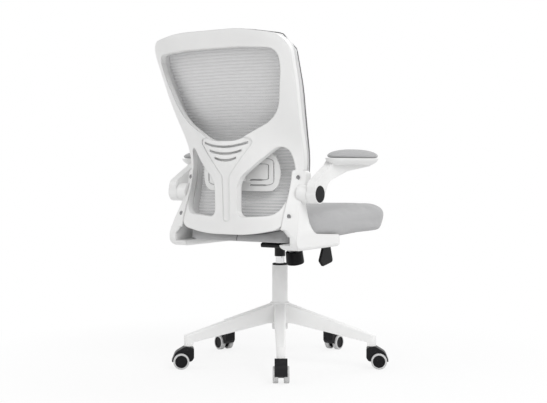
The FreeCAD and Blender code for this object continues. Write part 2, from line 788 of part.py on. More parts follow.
def make_lever_paddle():
    """Fan-shaped paddle that hangs from the rod's outer end."""
    top = lever_height() + LEVER_RADIUS + 4
    outline = [
        (-20, top, 7),
        (8, top, 6),
        (37, top - 62, 8),
        (18, top - 80, 8),
        (-42, top - 69, 9),
    ]
    half = PADDLE_THICK / 2
    paddle = prism(outline, in_side(PADDLE_X - half), Vector(PADDLE_THICK, 0, 0))
    rims = [e for e in paddle.Edges if abs(e.CenterOfMass.x - PADDLE_X) > half - 0.01]
    paddle = paddle.makeFillet(half * 0.6, rims)
    paddle = paddle.fuse(cylinder((PADDLE_X, 0, lever_height()), (1, 0, 0), LEVER_RADIUS + 2.5, 26))
    outer = PADDLE_X - PADDLE_THICK / 4
    return paddle.cut(cylinder((outer, 0, lever_height()), (1, 0, 0), LEVER_RADIUS, 60))


def seat_outline(side, front, rear):
    """Corners of the seat's plan, drawn in from its sides, front and rear."""
    return mirrored_pairs([
        (SEAT_FRONT_HALF - side, front - SEAT_FRONT, 75),
        (SEAT_MIDDLE_HALF - side, SEAT_MIDDLE_Y, 380),
        (SEAT_REAR_HALF - side, SEAT_REAR - rear, 52),
    ])


def make_seat_board():
    """Seat board inside the cushion's underside, bored for its bolts."""
    inset = SEAT_BOARD_INSET
    board = prism(seat_outline(inset, inset, inset), in_plan(0), Vector(0, 0, SEAT_BOARD))
    for x, y in plate_bolts() + foot_bolts():
        board = board.cut(cylinder((x, y, -1), (0, 0, 1), SEAT_BOLT_RADIUS, SEAT_BOARD + 2))
    return on_seat(board)


def make_seat_cushion():
    """Crowned cushion with drawn-in sides and a soft front edge, wrapped over the board."""
    inset = SEAT_BOARD_INSET - CLEAR
    belly = 0.42 * SEAT_THICK
    sections = [(0.0, 22, 20, 4), (0.45 * belly, 8, 8, 4)]
    for angle in (0, 25, 48, 66, 78, 86):
        climb = math.sin(math.radians(angle))
        drawn = 1 - math.cos(math.radians(angle))
        sections.append((belly + (SEAT_THICK - belly) * climb, 90 * drawn, 120 * drawn, 18 + 112 * drawn))
    wires = [rounded_loop(seat_outline(s, f, r), in_plan(z)) for z, s, f, r in sections]
    cushion = Part.makeLoft(wires, True, False)
    pocket = prism(seat_outline(inset, inset, inset), in_plan(-1), Vector(0, 0, SEAT_BOARD + 1 + CLEAR))
    return on_seat(cushion.cut(pocket))


def make_seat_bolts():
    """Bolts that hold the seat plate and the arm brackets to the board."""
    bolts = []
    for places, under in ((plate_bolts(), PLATE_SHEET), (foot_bolts(), FOOT_THICK)):
        for x, y in places:
            bolt = cylinder((x, y, -under), (0, 0, 1), SEAT_BOLT_RADIUS, under + SEAT_BOARD)
            head = cylinder((x, y, -under - SEAT_BOLT_HEAD_HEIGHT), (0, 0, 1), SEAT_BOLT_HEAD,
                            SEAT_BOLT_HEAD_HEIGHT)
            bolts.append(on_seat(bolt.fuse(head)))
    return Part.Compound(bolts)


def curved_slab(rows, start, depth):
    """Curved panel between two copies of a surface, pushed apart in depth."""
    return through_points(rows, start).toShape().extrude(Vector(0, depth, 0))


def through_points(rows, start):
    """Smooth surface through rows of points, carried on evenly past every edge."""
    lines = [carried_on([Vector(x, y + start, z) for x, y in row]) for z, row in rows]
    columns = [carried_on(list(column)) for column in zip(*lines)]
    surface = Part.BSplineSurface()
    surface.interpolate([list(line) for line in zip(*columns)])
    return surface


def carried_on(points):
    """Row of points with one more at each end, in line with the last two."""
    return [points[0] * 2 - points[1]] + points + [points[-1] * 2 - points[-2]]


def frame_rows():
    """Rows of points across the frame's middle surface."""
    rows = []
    for height, *depths in BACK_SECTIONS:
        half = list(zip(BACK_STATIONS, depths))
        rows.append((height, [(-x, y) for x, y in reversed(half[1:])] + half))
    return rows


def mesh_rows():
    """Rows of points across the mesh, which bows evenly between the rails."""
    widest = BACK_STATIONS[-1]
    rows = []
    for height, middle, edge in MESH_SECTIONS:
        stations = [-x for x in reversed(BACK_STATIONS[1:])] + list(BACK_STATIONS)
        rows.append((height, [(x, middle + (edge - middle) * (x / widest) ** 2) for x in stations]))
    return rows


def back_outline(inset):
    """Corners of the back's outer outline, drawn in by an even margin."""
    return mirrored_pairs([
        (80, BACK_BOTTOM + inset, 500),
        (BACK_LOW_HALF - inset - 16, BACK_BOTTOM + 22 + inset, 55),
        (BACK_LOW_HALF - inset, BACK_BOTTOM + 170, 300),
        (BACK_WAIST_HALF - inset, BACK_WAIST, 500),
        (BACK_TOP_HALF - 10 - inset, BACK_TOP - 170, 700),
        (BACK_TOP_HALF + 1 - inset, BACK_TOP - 22 - inset, 54),
        (110, BACK_TOP - inset, 420),
    ])


def upper_opening():
    """Corners of the large opening above the fork."""
    return mirrored_pairs([
        (48, BACK_WAIST - 7, 90),
        (178, BACK_WAIST + 63, 120),
        (216, BACK_TOP - 108, 250),
        (214, BACK_TOP - 59, 34),
        (100, BACK_TOP - 52, 400),
    ])


def lower_opening():
    """Corners of the opening beside the stem, under one arm of the fork."""
    return [
        (STEM_HALF, BACK_BOTTOM + 52, 20),
        (168, BACK_BOTTOM + 60, 60),
        (188, BACK_BOTTOM + 118, 120),
        (194, BACK_WAIST - 90, 240),
        (176, BACK_WAIST - 6, 22),
        (STEM_HALF + 14, BACK_WAIST - 114, 40),
        (STEM_HALF, BACK_WAIST - 140, 60),
    ]


def through(corners):
    """Outline pushed right through the back from front to rear."""
    return prism(corners, in_front(60), Vector(0, 440, 0))


def back_openings():
    """Every opening of the back frame as one cutter."""
    low = lower_opening()
    other = [(-a, b, radius) for a, b, radius in reversed(low)]
    return through(upper_opening()).fuse([through(low), through(other)])


def fork_slots():
    """Three smiling slots in the fork, each a band between two arcs."""
    cutters = []
    for half, height, lift in ((80.0, 695.0, 13.0), (59.0, 674.5, 10.0), (40.0, 654.5, 8.0)):
        top = Part.Arc(Vector(-half, 60, height + lift + SLOT_HEIGHT / 2),
                       Vector(0, 60, height + SLOT_HEIGHT / 2),
                       Vector(half, 60, height + lift + SLOT_HEIGHT / 2)).toShape()
        low = Part.Arc(Vector(-half, 60, height + lift - SLOT_HEIGHT / 2),
                       Vector(0, 60, height - SLOT_HEIGHT / 2),
                       Vector(half, 60, height + lift - SLOT_HEIGHT / 2)).toShape()
        ends = [Part.makeLine(top.Vertexes[i].Point, low.Vertexes[i].Point) for i in (0, 1)]
        band = Part.Face(Part.Wire(Part.__sortEdges__([top, ends[1], low, ends[0]])))
        cutters.append(band.extrude(Vector(0, 440, 0)))
    return cutters


def make_back_frame():
    """Moulded C-section frame: rails, forked spine with slots, and a recessed panel in the fork."""
    rows = frame_rows()
    openings = back_openings()
    whole = through(back_outline(0)).cut(openings)
    frame = whole.common(curved_slab(rows, FRAME_FRONT, FRAME_REAR - FRAME_FRONT))
    fork = mirrored_pairs([
        (11, BACK_BOTTOM + 40, 8),
        (13, BACK_WAIST - 112, 30),
        (104, BACK_WAIST - 2, 16),
        (60, BACK_WAIST + 4, 40),
    ])
    panel = through(fork).common(curved_slab(rows, FRAME_REAR - FORK_RECESS, FORK_RECESS + 20))
    frame = frame.cut(frame_pocket(openings))
    frame = frame.fuse(lumbar_rail(0).common(through(back_outline(0)).cut(openings)))
    frame = frame.cut(panel)
    frame = frame.cut(fork_slots())
    for x, z in screw_places():
        screw = back_screw(x, z)
        frame = frame.cut(screw).cut(mirror(screw))
    return frame.removeSplitter()


def frame_pocket(openings):
    """Hollow behind the frame's front edge, which leaves a rear skin, rims and screw bosses."""
    flat = Part.Face(rounded_loop(back_outline(0), in_front(60))).cut(openings).Faces[0]
    inner = flat.makeOffset2D(-FRAME_RIM)
    depth = FRAME_REAR - FRAME_FRONT - FRAME_SKIN
    hollow = inner.extrude(Vector(0, 440, 0)).common(curved_slab(frame_rows(), FRAME_FRONT - 1, depth + 1))
    hollow = hollow.cut(box((-STEM_HALF, 0, LUMBAR_BOTTOM - 20), (STEM_HALF, 600, LUMBAR_TOP + 40)))
    for x, z in screw_places():
        boss = cylinder((x, 0, z), (0, 1, 0), SCREW_HEAD_RADIUS + 3, 600)
        hollow = hollow.cut(boss).cut(mirror(boss))
    return hollow


def lumbar_rail(gap):
    """Dovetail guide on the front of the stem for the lumbar slider, grown by a gap."""
    front = stem_front() - RAIL_STANDS - gap
    outline = mirrored_pairs([
        (RAIL_HALF + gap, front, 0),
        (RAIL_HALF - 4 + gap, stem_front() + 6, 0),
    ])
    return prism(outline, in_plan(LUMBAR_BOTTOM - RAIL_BELOW), Vector(0, 0, RAIL_LENGTH))


def make_mesh_ring():
    """Inner ring that carries the mesh on the front of the frame."""
    rows = frame_rows()
    band = through(back_outline(1.0)).cut(through(back_outline(RING_WIDTH)))
    behind_mesh = curved_slab(mesh_rows(), CLEAR, 200)
    before_frame = curved_slab(rows, FRAME_FRONT - 200, 200 - CLEAR)
    return band.common(behind_mesh).common(before_frame)


def make_back_mesh():
    """Stretched mesh over the ring, a thin bowed sheet."""
    sheet = curved_slab(mesh_rows(), -MESH_THICK, MESH_THICK)
    return through(back_outline(MESH_INSET)).common(sheet)


def screw_places():
    """Heads of the bracket screws on one side: across, height."""
    return [(SCREW_X, SCREW_LOW), (SCREW_X, SCREW_HIGH)]


def screw_seat(x, z):
    """Depth at which a screw's head sits in the bracket's rear wall."""
    return frame_depth_at(x, z) + FRAME_REAR + BRACKET_WALL - SCREW_HEAD


def make_back_screws():
    """Screws that hold the back frame in the brackets."""
    left = [back_screw(x, z) for x, z in screw_places()]
    return Part.Compound(left + [mirror(screw) for screw in left])


def back_screw(x, z):
    """One screw with its head sunk in the bracket's rear wall."""
    seat = (x, screw_seat(x, z), z)
    shank = cylinder(seat, (0, -1, 0), SCREW_RADIUS, SCREW_LENGTH)
    return shank.fuse(cylinder(seat, (0, 1, 0), SCREW_HEAD_RADIUS, SCREW_HEAD))


def frame_depth_at(x, z):
    """Depth of the frame's middle surface at a point of its rear view."""
    line = Part.makeLine(Vector(x, 0, z), Vector(x, 600, z))
    return line.Curve.intersect(through_points(frame_rows(), 0))[0][0].Y


def make_bracket():
    """L-shaped arm bracket of the left side, wrapped round the back's rail and under the seat."""
    rows = frame_rows()
    rear = BACK_SECTIONS[1][1] - 6
    side = [
        (FOOT_FRONT, BRACKET_BOTTOM + 3, 8),
        (FOOT_FRONT, FOOT_TOP, 10),
        (BRACKET_FRONT, FOOT_TOP + 10, 38),
        (BRACKET_FRONT, ARM_Z - 25, 40),
        (ARM_Y - HUB_R - 6, ARM_Z + 45, 20),
        (ARM_Y - HUB_R - 6, BRACKET_TOP, 14),
        (rear + 40, BRACKET_TOP, 0),
        (rear + 40, BRACKET_BOTTOM + 100, 0),
        (rear, BRACKET_BOTTOM + 60, 0),
        (rear, BRACKET_BOTTOM, 40),
    ]
    body = prism(side, in_side(100), Vector(200, 0, 0))
    outline = [
        (BRACKET_INNER, BRACKET_TOP, 8),
        (BRACKET_OUTER_TOP, BRACKET_TOP, 14),
        (BRACKET_OUTER_TOP, ARM_Z - 35, 80),
        (BRACKET_OUTER_LOW, FOOT_TOP + 16, 80),
        (BRACKET_OUTER_LOW, BRACKET_BOTTOM, 14),
        (BRACKET_FOOT_INNER, BRACKET_BOTTOM, 14),
        (BRACKET_FOOT_INNER, FOOT_TOP, 10),
        (BRACKET_INNER, FOOT_TOP + 30, 30),
    ]
    body = body.common(prism(outline, in_front(0), Vector(0, 400, 0)))
    body = body.cut(curved_slab(rows, FRAME_REAR + BRACKET_WALL, 300))
    hub_start = BRACKET_SIDE - 6
    body = body.fuse(cylinder((hub_start, ARM_Y, ARM_Z), (1, 0, 0), HUB_R, HUB_SPLIT - hub_start))
    frame_room = curved_slab(rows, FRAME_REAR - 200, 200 + CLEAR)
    frame_room = frame_room.common(box((100, 0, BACK_BOTTOM - 4), (BRACKET_SIDE, 400, 800)))
    body = body.cut(frame_room)
    body = body.cut(on_seat(box((0, -100, 0), (BRACKET_LIP, BRACKET_FRONT, 150))))
    body = body.cut(on_seat(box((0, -100, 0), (BRACKET_SIDE, 270, BACK_BOTTOM - SEAT_HEIGHT + 12))))
    for x, y in foot_bolts():
        body = body.cut(on_seat(cylinder((x, y, -60), (0, 0, 1), SEAT_BOLT_RADIUS, 70)))
        body = body.cut(on_seat(cylinder((x, y, -60), (0, 0, 1), SEAT_BOLT_HEAD + 1, 60 - FOOT_THICK)))
    for x, z in screw_places():
        body = body.cut(cylinder((x, 0, z), (0, 1, 0), SCREW_RADIUS, 500))
        body = body.cut(cylinder((x, screw_seat(x, z), z), (0, 1, 0), SCREW_HEAD_RADIUS, 60))
    return body.cut(cylinder((BRACKET_SIDE, ARM_Y, ARM_Z), (1, 0, 0), ARM_PIN_RADIUS, 100))


def make_arm_pin():
    """Pivot pin fixed in the left bracket, on which the arm turns."""
    return cylinder((BRACKET_SIDE, ARM_Y, ARM_Z), (1, 0, 0), ARM_PIN_RADIUS, HUB_END - 8 - BRACKET_SIDE)


def oval(half_length, half_width, end_radius, z):
    """Oval of four tangent arcs in plan, centred on the left arm pad."""
    reach = half_length - end_radius
    flank = (half_width ** 2 + reach ** 2 - end_radius ** 2) / (2 * (half_width - end_radius))
    across = flank - half_width
    scale = flank / (flank - end_radius)
    touch_x = -across + across * scale
    touch_y = reach * scale
    def at(x, y):
        return Vector(PAD_X + x, PAD_Y + y, z)
    arcs = [
        Part.Arc(at(touch_x, -touch_y), at(half_width, 0), at(touch_x, touch_y)),
        Part.Arc(at(touch_x, touch_y), at(0, half_length), at(-touch_x, touch_y)),
        Part.Arc(at(-touch_x, touch_y), at(-half_width, 0), at(-touch_x, -touch_y)),
        Part.Arc(at(-touch_x, -touch_y), at(0, -half_length), at(touch_x, -touch_y)),
    ]
    return Part.Wire([arc.toShape() for arc in arcs])


def pad_oval(inset, z):
    """Pad outline drawn in evenly."""
    return oval(PAD_HALF_LENGTH - inset, PAD_HALF_WIDTH - inset, PAD_END_RADIUS - inset, z)


def make_arm_pad():
    """Crowned arm pad with a drawn-in lower edge."""
    wires = [pad_oval(PAD_UNDERCUT, PAD_BOTTOM)]
    for angle in (0, 20, 40, 58, 74, 90):
        climb = math.sin(math.radians(angle))
        drawn = 1 - math.cos(math.radians(angle))
        half_width = PAD_HALF_WIDTH - PAD_CROWN_SIDES * drawn
        end_radius = PAD_END_RADIUS * half_width / PAD_HALF_WIDTH
        height = PAD_BOTTOM + PAD_RIM + (PAD_THICK - PAD_RIM) * climb
        wires.append(oval(PAD_HALF_LENGTH - PAD_CROWN_ENDS * drawn, half_width, end_radius, height))
    return Part.makeLoft(wires, True, True)


def make_arm():
    """Left arm: outer hub, swept neck and the dish under the pad."""
    start = HUB_SPLIT + HUB_PLAY
    width = HUB_END - start
    hub = cylinder((start, ARM_Y, ARM_Z), (1, 0, 0), HUB_R, width)
    dish_bottom = PAD_BOTTOM - DISH_DEPTH
    neck = [
        (ARM_Y + HUB_R, ARM_Z, 0),
        (ARM_Y + HUB_R - 2, ARM_Z + 34, 26),
        (PAD_Y + 122, PAD_BOTTOM - 20, 40),
        (PAD_Y + 108, PAD_BOTTOM - 5, 4),
        (PAD_Y - 112, PAD_BOTTOM - 5, 4),
        (PAD_Y - 118, dish_bottom - 2, 30),
        (PAD_Y + 30, dish_bottom - 18, 160),
        (ARM_Y - HUB_R - 22, ARM_Z + 36, 110),
        (ARM_Y - HUB_R, ARM_Z - 8, 20),
    ]
    neck = prism(neck, in_side(start + 2), Vector(width - 4, 0, 0))
    wires = [pad_oval(3, PAD_BOTTOM - CLEAR), pad_oval(7, PAD_BOTTOM - 0.4 * DISH_DEPTH),
             pad_oval(18, PAD_BOTTOM - 0.8 * DISH_DEPTH), pad_oval(28, dish_bottom)]
    dish = Part.makeLoft(wires, True, False)
    arm = hub.fuse(neck).fuse(dish)
    arm = arm.cut(cylinder((start - 1, ARM_Y, ARM_Z), (1, 0, 0), ARM_PIN_RADIUS + RUNNING, width - 7 + 1))
    return arm.cut(cylinder((HUB_END - CAP_DEPTH, ARM_Y, ARM_Z), (1, 0, 0), CAP_RADIUS, 10))


def make_arm_cap():
    """Dark cap in the end of the left arm's hub."""
    cap = cylinder((HUB_END - CAP_DEPTH, ARM_Y, ARM_Z), (1, 0, 0), CAP_RADIUS, CAP_DEPTH + 1.0)
    rims = [e for e in cap.Edges if abs(e.CenterOfMass.x - HUB_END - 1.0) < 0.01]
    return cap.makeFillet(0.9, rims)


def make_lumbar_pad():
    """Bowed lumbar plate with slots that make it springy."""
    middle = (LUMBAR_BOTTOM + LUMBAR_TOP) / 2
    half_height = (LUMBAR_TOP - LUMBAR_BOTTOM) / 2
    bow = Part.Arc(Vector(-LUMBAR_HALF - 20, LUMBAR_Y - LUMBAR_EDGE_FORWARD, 0), Vector(0, LUMBAR_Y, 0),
                   Vector(LUMBAR_HALF + 20, LUMBAR_Y - LUMBAR_EDGE_FORWARD, 0)).toShape()
    sheet = bow.extrude(Vector(0, 0, 1000)).extrude(Vector(0, LUMBAR_THICK, 0))
    outline = mirrored_pairs([
        (LUMBAR_HALF - 12, middle - half_height, 34),
        (LUMBAR_HALF, middle + 4, 90),
        (LUMBAR_HALF - 22, middle + half_height, 30),
    ])
    pad = through(outline).common(sheet)
    slot = LUMBAR_SLOT / 2
    for half, height in ((96, -40), (84, -24), (84, 24), (96, 40)):
        for way in (1, -1):
            mid = way * (half + SLIDER_HALF + 12) / 2
            reach = (half - SLIDER_HALF - 12) / 2
            band = [(mid - reach, middle + height - slot, slot), (mid + reach, middle + height - slot, slot),
                    (mid + reach, middle + height + slot, slot), (mid - reach, middle + height + slot, slot)]
            pad = pad.cut(through(band))
    for across, reach in ((104, 22), (122, 30)):
        for way in (1, -1):
            at = way * across
            band = [(at - slot, middle - reach, slot), (at + slot, middle - reach, slot),
                    (at + slot, middle + reach, slot), (at - slot, middle + reach, slot)]
            pad = pad.cut(through(band))
    return pad


def stem_front():
    """Depth of the stem's front face at the lumbar slider."""
    return BACK_SECTIONS[3][1] + FRAME_FRONT


def make_lumbar_slider():
    """Block behind the lumbar pad that runs on the front of the stem."""
    middle = (LUMBAR_BOTTOM + LUMBAR_TOP) / 2
    low = middle - SLIDER_HEIGHT / 2
    high = middle + SLIDER_HEIGHT / 2
    outline = [
        (SLIDER_HALF, LUMBAR_Y + LUMBAR_THICK, 4),
        (SLIDER_HALF, stem_front() - 2, 2),
    ]
    block = prism(mirrored_pairs(outline), in_plan(low), Vector(0, 0, high - low))
    hollow = [
        (SLIDER_HALF - 5, LUMBAR_Y - 1, 2),
        (SLIDER_HALF - 8, stem_front() - RAIL_STANDS - 7, 6),
    ]
    block = block.cut(prism(mirrored_pairs(hollow), in_plan(low - 1), Vector(0, 0, high - low + 2)))
    return block.cut(lumbar_rail(RUNNING))


pieces = {
    "base_star": make_base(),
    "caster_stems": make_caster_stems(),
    "column_tube": make_column_tube(),
    "column_bush": make_column_bush(),
    "piston_rod": make_piston_rod(),
    "swivel_bearing": make_swivel_bearing(),
    "gas_cylinder": make_gas_cylinder(),
    "gas_valve": make_gas_valve(),
    "tilt_housing": make_tilt_housing(),
    "tilt_pin": make_tilt_pin(),
    "tension_spring": make_tension_spring(),
    "tension_bolt": make_tension_bolt(),
    "tension_knob": make_tension_knob(),
    "lever_bush": make_lever_bush(),
    "lever_rod": make_lever_rod(),
    "lever_paddle": make_lever_paddle(),
    "seat_plate": make_seat_plate(),
    "seat_board": make_seat_board(),
    "seat_cushion": make_seat_cushion(),
    "seat_bolts": make_seat_bolts(),
    "back_frame": make_back_frame(),
    "mesh_ring": make_mesh_ring(),
    "back_mesh": make_back_mesh(),
    "back_screws": make_back_screws(),
    "lumbar_pad": make_lumbar_pad(),
    "lumbar_slider": make_lumbar_slider(),
}
caster_pieces = {
    "hood": caster_hood(),
    "axle": caster_axle(),
    "wheels": caster_wheels(),
    "tyres": caster_tyres(),
}
for index in range(LEG_COUNT):
    for name, shape in caster_pieces.items():
        pieces[f"caster_{index + 1}_{name}"] = on_caster(shape, index)
left_arm = {
    "arm_bracket": make_bracket(),
    "arm_pin": make_arm_pin(),
    "arm": make_arm(),
    "arm_pad": make_arm_pad(),
    "arm_cap": make_arm_cap(),
}
for name, shape in left_arm.items():
    pieces[name + "_left"] = shape
    pieces[name + "_right"] = mirror(shape)

os.makedirs("parts", exist_ok=True)
for name, shape in pieces.items():
    shape.exportStep(f"parts/{name}.step")
print(len(pieces), "pieces")
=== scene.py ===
"""Dressed scene of a white task chair with a mesh back, padded seat, flip-up arms and a five-legged base."""
import logging
import math
from dataclasses import dataclass, field
from enum import Enum
from typing import Callable, Iterable, Sequence, Union

import bmesh
import bpy
from mathutils import Matrix, Vector, noise
from mathutils.bvhtree import BVHTree


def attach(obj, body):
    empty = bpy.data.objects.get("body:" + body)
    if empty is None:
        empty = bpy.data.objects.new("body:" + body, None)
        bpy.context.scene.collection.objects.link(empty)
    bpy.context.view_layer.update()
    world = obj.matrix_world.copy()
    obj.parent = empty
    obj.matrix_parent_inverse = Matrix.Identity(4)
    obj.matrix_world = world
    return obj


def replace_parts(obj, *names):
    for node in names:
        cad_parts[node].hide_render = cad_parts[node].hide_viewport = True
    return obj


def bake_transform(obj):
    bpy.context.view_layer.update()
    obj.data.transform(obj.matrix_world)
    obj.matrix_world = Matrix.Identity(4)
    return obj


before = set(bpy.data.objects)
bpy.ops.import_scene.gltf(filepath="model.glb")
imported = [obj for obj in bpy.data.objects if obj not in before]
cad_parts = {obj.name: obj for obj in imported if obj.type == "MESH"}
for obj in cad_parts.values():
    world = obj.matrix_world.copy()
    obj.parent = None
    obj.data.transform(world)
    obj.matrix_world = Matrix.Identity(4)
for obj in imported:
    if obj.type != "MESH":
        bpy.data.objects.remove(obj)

log = logging.getLogger("chair")
Material = bpy.types.Material
Piece = bpy.types.Object
Colour = tuple[float, float, float]
Pair = tuple[float, float]
Triple = tuple[float, float, float]
Value = Union["Shade", float]
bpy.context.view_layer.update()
WHITE: Colour = (0.80, 0.80, 0.795)
# A lighter copy of the white, which paints extra light on the base star and on the column tube under the
# seat.
PAINTED_LIGHT_WHITE: Colour = (0.88, 0.88, 0.875)
BLACK: Colour = (0.010, 0.010, 0.011)
FULL_LIGHT = (1.0, 1.0, 1.0, 1.0)


class Side(Enum):
    """Side of the chair as its sitter names it, with the sign of X there."""

    LEFT = 1
    RIGHT = -1


class Gloss(Enum):
    """Roughness of a moulded surface."""

    SATIN = 0.38
    MATT = 0.55


class Shade:
    """One shader socket that takes part in plain arithmetic."""

    def __init__(self, tree: "ShaderTree", socket: Union[bpy.types.NodeSocket, None]) -> None:
        """Keep the socket and the tree it belongs to."""
        self.tree = tree
        self.socket = socket

    def _math(self, operation: str, first: Value, second: Value = 0.0) -> "Shade":
        """Add one Math node."""
        return self.tree.node("ShaderNodeMath", {"operation": operation}, {0: first, 1: second})

    def __add__(self, other: Value) -> "Shade":
        """Sum."""
        return self._math("ADD", self, other)

    def __radd__(self, other: Value) -> "Shade":
        """Sum with a number on the left."""
        return self._math("ADD", other, self)

    def __sub__(self, other: Value) -> "Shade":
        """Difference."""
        return self._math("SUBTRACT", self, other)

    def __rsub__(self, other: Value) -> "Shade":
        """Difference from a number on the left."""
        return self._math("SUBTRACT", other, self)

    def __mul__(self, other: Value) -> "Shade":
        """Product."""
        return self._math("MULTIPLY", self, other)

    def __rmul__(self, other: Value) -> "Shade":
        """Product with a number on the left."""
        return self._math("MULTIPLY", other, self)

    def __gt__(self, other: Value) -> "Shade":
        """One where this is greater, else zero."""
        return self._math("GREATER_THAN", self, other)

    def sine(self) -> "Shade":
        """Sine of an angle in radians."""
        return self._math("SINE", self)

    def highest(self, other: Value) -> "Shade":
        """The greater of two values."""
        return self._math("MAXIMUM", self, other)


def shaded(colour: Colour, factor: float) -> Colour:
    """A colour made lighter or darker by a factor."""
    return tuple(min(1.0, part * factor) for part in colour)


class ShaderTree:
    """The node tree of one material or of the world."""

    BEVEL_SAMPLES = 4

    def __init__(self, owner: Union[Material, bpy.types.World]) -> None:
        """Empty the node tree of a material or a world.

        Args:
            owner: What the nodes belong to.
        """
        self.owner = owner
        owner.use_nodes = True
        owner.node_tree.nodes.clear()

    @classmethod
    def named(cls, name: str) -> "ShaderTree":
        """Tree of a new material."""
        return cls(bpy.data.materials.new(name))

    def node(self, kind: str, settings: dict, inputs: dict, output: Union[int, str] = 0) -> Shade:
        """Add a node, set it up and wire it.

        Args:
            kind: Blender's type name of the node.
            settings: Attributes of the node, which shape its sockets.
            inputs: Socket name or number to a value or a Shade.
            output: Name or number of the output wanted.

        Returns:
            The chosen output, without a socket where the node has none.
        """
        tree = self.owner.node_tree
        made = tree.nodes.new(kind)
        for key, value in settings.items():
            setattr(made, key, value)
        for key, value in inputs.items():
            if isinstance(value, Shade):
                tree.links.new(value.socket, made.inputs[key])
            else:
                made.inputs[key].default_value = value
        return Shade(self, made.outputs[output] if len(made.outputs) else None)

    def place(self, axis: str) -> Shade:
        """One coordinate of the surface point in metres."""
        point = self.node("ShaderNodeTexCoord", {}, {}, "Object")
        return self.node("ShaderNodeSeparateXYZ", {}, {0: point}, axis)

    def cloud(self, scale: float, detail: float = 3.0) -> Shade:
        """Soft noise from 0 to 1 in object space."""
        point = self.node("ShaderNodeTexCoord", {}, {}, "Object")
        return self.node("ShaderNodeTexNoise", {}, {"Vector": point, "Scale": scale, "Detail": detail}, "Fac")

    def seen(self) -> Shade:
        """One where the camera or a shiny surface looks, else zero."""
        rays = [self.node("ShaderNodeLightPath", {}, {}, f"Is {kind} Ray") for kind in ("Camera", "Glossy")]
        return rays[0].highest(rays[1])

    def mix(self, factor: Value, first: Union[Shade, Colour], second: Union[Shade, Colour]) -> Shade:
        """Blend two colours."""
        pair = [colour if isinstance(colour, Shade) else (*colour, 1.0) for colour in (first, second)]
        return self.node("ShaderNodeMix", {"data_type": "RGBA"}, {0: factor, 6: pair[0], 7: pair[1]}, 2)

    def tones(self, factor: Value, colour: Colour, ends: Pair) -> Shade:
        """Blend a darker and a lighter tone of one colour."""
        return self.mix(factor, shaded(colour, ends[0]), shaded(colour, ends[1]))

    def bump(self, height: Shade, distance: float, strength: float, edge: float = 0.0) -> Shade:
        """Surface relief, over edges that catch the light when they have a radius.

        Args:
            height: Relief from 0 to 1.
            distance: Depth of the relief in metres.
            strength: Share of the relief that shows.
            edge: Radius of the edges in metres.

        Returns:
            The normal of the surface.
        """
        inputs: dict = {"Height": height, "Distance": distance, "Strength": strength}
        if edge:
            inputs["Normal"] = self.node("ShaderNodeBevel", {"samples": self.BEVEL_SAMPLES}, {"Radius": edge})
        return self.node("ShaderNodeBump", {}, inputs)

    def finish(self, shader: Shade) -> Union[Material, bpy.types.World]:
        """Wire the shader to the output.

        Args:
            shader: What the surface or the sky shows.

        Returns:
            The material or world that the tree belongs to.
        """
        kind = "World" if isinstance(self.owner, bpy.types.World) else "Material"
        self.node(f"ShaderNodeOutput{kind}", {}, {"Surface": shader})
        return self.owner

    def principled(self, **sockets: Union[Value, tuple]) -> Material:
        """Finish with one principled shader, its socket names written with underscores."""
        inputs = {key.replace("_", " "): value for key, value in sockets.items()}
        return self.finish(self.node("ShaderNodeBsdfPrincipled", {}, inputs))


@dataclass(frozen=True)
class MouldedPlastic:
    """Moulded plastic with a fine spark-eroded grain and slightly worn edges."""

    name: str
    colour: Colour
    gloss: Gloss = Gloss.SATIN
    grain: float = 1400.0
    grain_detail: float = 2.0
    grain_rough: float = 0.05
    relief: float = 0.00012
    relief_share: float = 0.35
    edge: float = 0.0012
    wear: float = 1.04
    wear_from: float = 0.53
    wear_gain: float = 9.0
    patch: float = 9.0
    patch_tones: Pair = (0.97, 1.02)
    patch_rough: float = 0.12
    shine: float = 0.5

    def material(self) -> Material:
        """Build the material.

        Returns:
            The material.
        """
        tree = ShaderTree.named(self.name)
        patches = tree.cloud(self.patch)
        grain = tree.cloud(self.grain, self.grain_detail)
        colour = tree.tones(patches, self.colour, self.patch_tones)
        ridge = tree.node("ShaderNodeNewGeometry", {}, {}, "Pointiness")
        worn = ((ridge - self.wear_from) * self.wear_gain).highest(0.0)
        colour = tree.mix(worn, colour, shaded(self.colour, self.wear))
        smoothest = self.gloss.value - 0.5 * self.patch_rough
        rough = smoothest + self.patch_rough * patches + self.grain_rough * grain
        normal = tree.bump(grain, self.relief, self.relief_share, self.edge)
        return tree.principled(Base_Color=colour, Roughness=rough, Normal=normal,
                               Specular_IOR_Level=self.shine)


@dataclass(frozen=True)
class PaintedSteel:
    """Powder-coated steel with a light orange-peel."""

    name: str
    colour: Colour
    rough: float = 0.34
    peel: float = 420.0
    peel_detail: float = 1.0
    peel_rough: float = 0.16
    relief: float = 0.0002
    relief_share: float = 0.3
    edge: float = 0.0008
    patch: float = 14.0
    patch_tones: Pair = (0.95, 1.05)
    shine: float = 0.5

    def material(self) -> Material:
        """Build the material.

        Returns:
            The material.
        """
        tree = ShaderTree.named(self.name)
        peel = tree.cloud(self.peel, self.peel_detail)
        colour = tree.tones(tree.cloud(self.patch), self.colour, self.patch_tones)
        normal = tree.bump(peel, self.relief, self.relief_share, self.edge)
        rough = self.rough + self.peel_rough * peel
        return tree.principled(Base_Color=colour, Roughness=rough, Normal=normal,
                               Specular_IOR_Level=self.shine)


